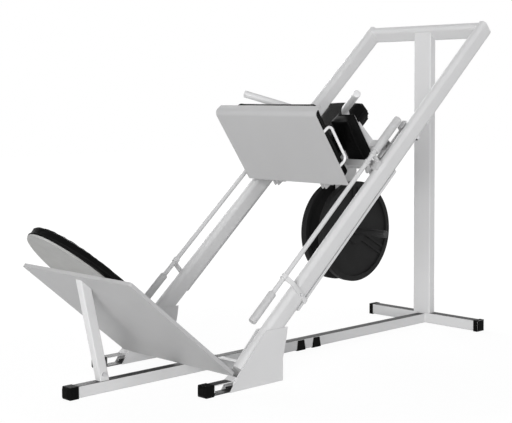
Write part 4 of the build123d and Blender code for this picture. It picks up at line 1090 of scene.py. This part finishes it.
def blow_up(o, pinned):
    """A short cloth simulation with pressure inside, held at the pinned points."""
    pins = o.vertex_groups.new(name="pins")
    for i in pinned:
        pins.add([i], 1.0, "REPLACE")
    cloth = o.modifiers.new("cloth", "CLOTH")
    s = cloth.settings
    s.quality = 4
    s.mass = 0.4
    s.use_pressure = True
    s.uniform_pressure_force = 4.0
    s.tension_stiffness = 25
    s.compression_stiffness = 25
    s.shear_stiffness = 12
    s.bending_stiffness = 2.0
    s.vertex_group_mass = "pins"
    s.effector_weights.gravity = 0
    cloth.collision_settings.use_collision = False
    cloth.collision_settings.use_self_collision = False
    scene = bpy.context.scene
    scene.frame_start, scene.frame_end = 1, CLOTH_FRAMES
    for f in range(1, CLOTH_FRAMES + 1):
        scene.frame_set(f)
    apply(o)
    scene.frame_set(1)


def cushion(node, point, normal, body, fit, cap, voxel):
    """point and normal give the face that rests on the board, which stays flat; cap limits the swelling."""
    source = fitted(node, None, None, fit) if fit else sharp_head_pad()
    o = bpy.data.objects.new(node + "_upholstery", source.data.copy())
    bpy.context.scene.collection.objects.link(o)
    o.data.materials.clear()
    o.data.materials.append(M["vinyl"])
    remesh(o, source, voxel)
    vertices = o.data.vertices
    for v, n in zip(vertices, [Vector(v.normal) for v in vertices]):
        v.co -= n * SHRINK * max(0.0, min(1.0, (v.co - point).dot(normal) / FREE))
    start = [v.co.copy() for v in vertices]
    blow_up(o, [v.index for v in vertices if (v.co - point).dot(normal) < PINNED])
    for v, s in zip(o.data.vertices, start):
        move = v.co - s
        if move.length > cap:
            v.co = s + move.normalized() * cap
    smooth(o, "soften", 2)
    apply(o)
    for p in o.data.polygons:
        p.use_smooth = True
    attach(o, body)
    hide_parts(node)
    bpy.data.objects.remove(source)
    return o


WELT_RADIUS, WELT_STEP, SHORTEST_WELT = 0.0022, 0.006, 20


def piping(o, name, point, normal, body):
    """A welt sewn round the cushion where a plane through point meets it."""
    bm = bmesh.new()
    bm.from_mesh(o.data)
    everything = bm.verts[:] + bm.edges[:] + bm.faces[:]
    cut = bmesh.ops.bisect_plane(bm, geom=everything, plane_co=point, plane_no=normal)
    bm.verts.index_update()
    runs = runs_of(bm, [g for g in cut["geom_cut"] if isinstance(g, bmesh.types.BMEdge)])
    bm.free()
    for n, (points, _) in enumerate(runs):
        pts = spaced(points, WELT_STEP, True)
        if len(pts) < SHORTEST_WELT:
            continue
        for _ in range(3):
            pts = [(pts[i - 1] + pts[i] * 2 + pts[(i + 1) % len(pts)]) / 4 for i in range(len(pts))]
        sweep(f"{name}_{n}", pts, WELT_RADIUS, M["piping"], body, 8, True)


BACK_BASE, HACK_BASE = SEEN.point(0, 0, BOARD_THICKNESS[1]), plate(HACK_FACE[1], 0, 0)
HEAD_FOOT = rail(0, 0, HEAD_BASE)
# Each pad: node, a point on its board, the way up, body, fit, the most it swells, voxel size, heights of its welts
PADS = [
    ("back_cushion", BACK_BASE, SEEN.u, "frame", fit_cushion, 0.006, 0.0055, (0.008, 0.030)),
    ("hack_pad", HACK_BASE, PW, "foot_plate", fit_hack, 0.006, 0.0055, (0.008, 0.036)),
    ("head_pad", HEAD_FOOT, H, "sled", None, 0.004, 0.005, (0.008, 0.050)),
    ("shoulder_pad_left", SHOULDER_FOOT, -PW, "sled", fit_shoulder, 0.004, 0.0045, (0.008, 0.054)),
    ("shoulder_pad_right", SHOULDER_FOOT, -PW, "sled", fit_shoulder, 0.004, 0.0045, (0.008, 0.054)),
]
for node, point, normal, body, fit, cap, voxel, depths in PADS:
    pad = cushion(node, point, normal, body, fit, cap, voxel)
    for k, depth in enumerate(depths):
        piping(pad, f"{node}_welt_{k}", point + normal * depth, normal, body)
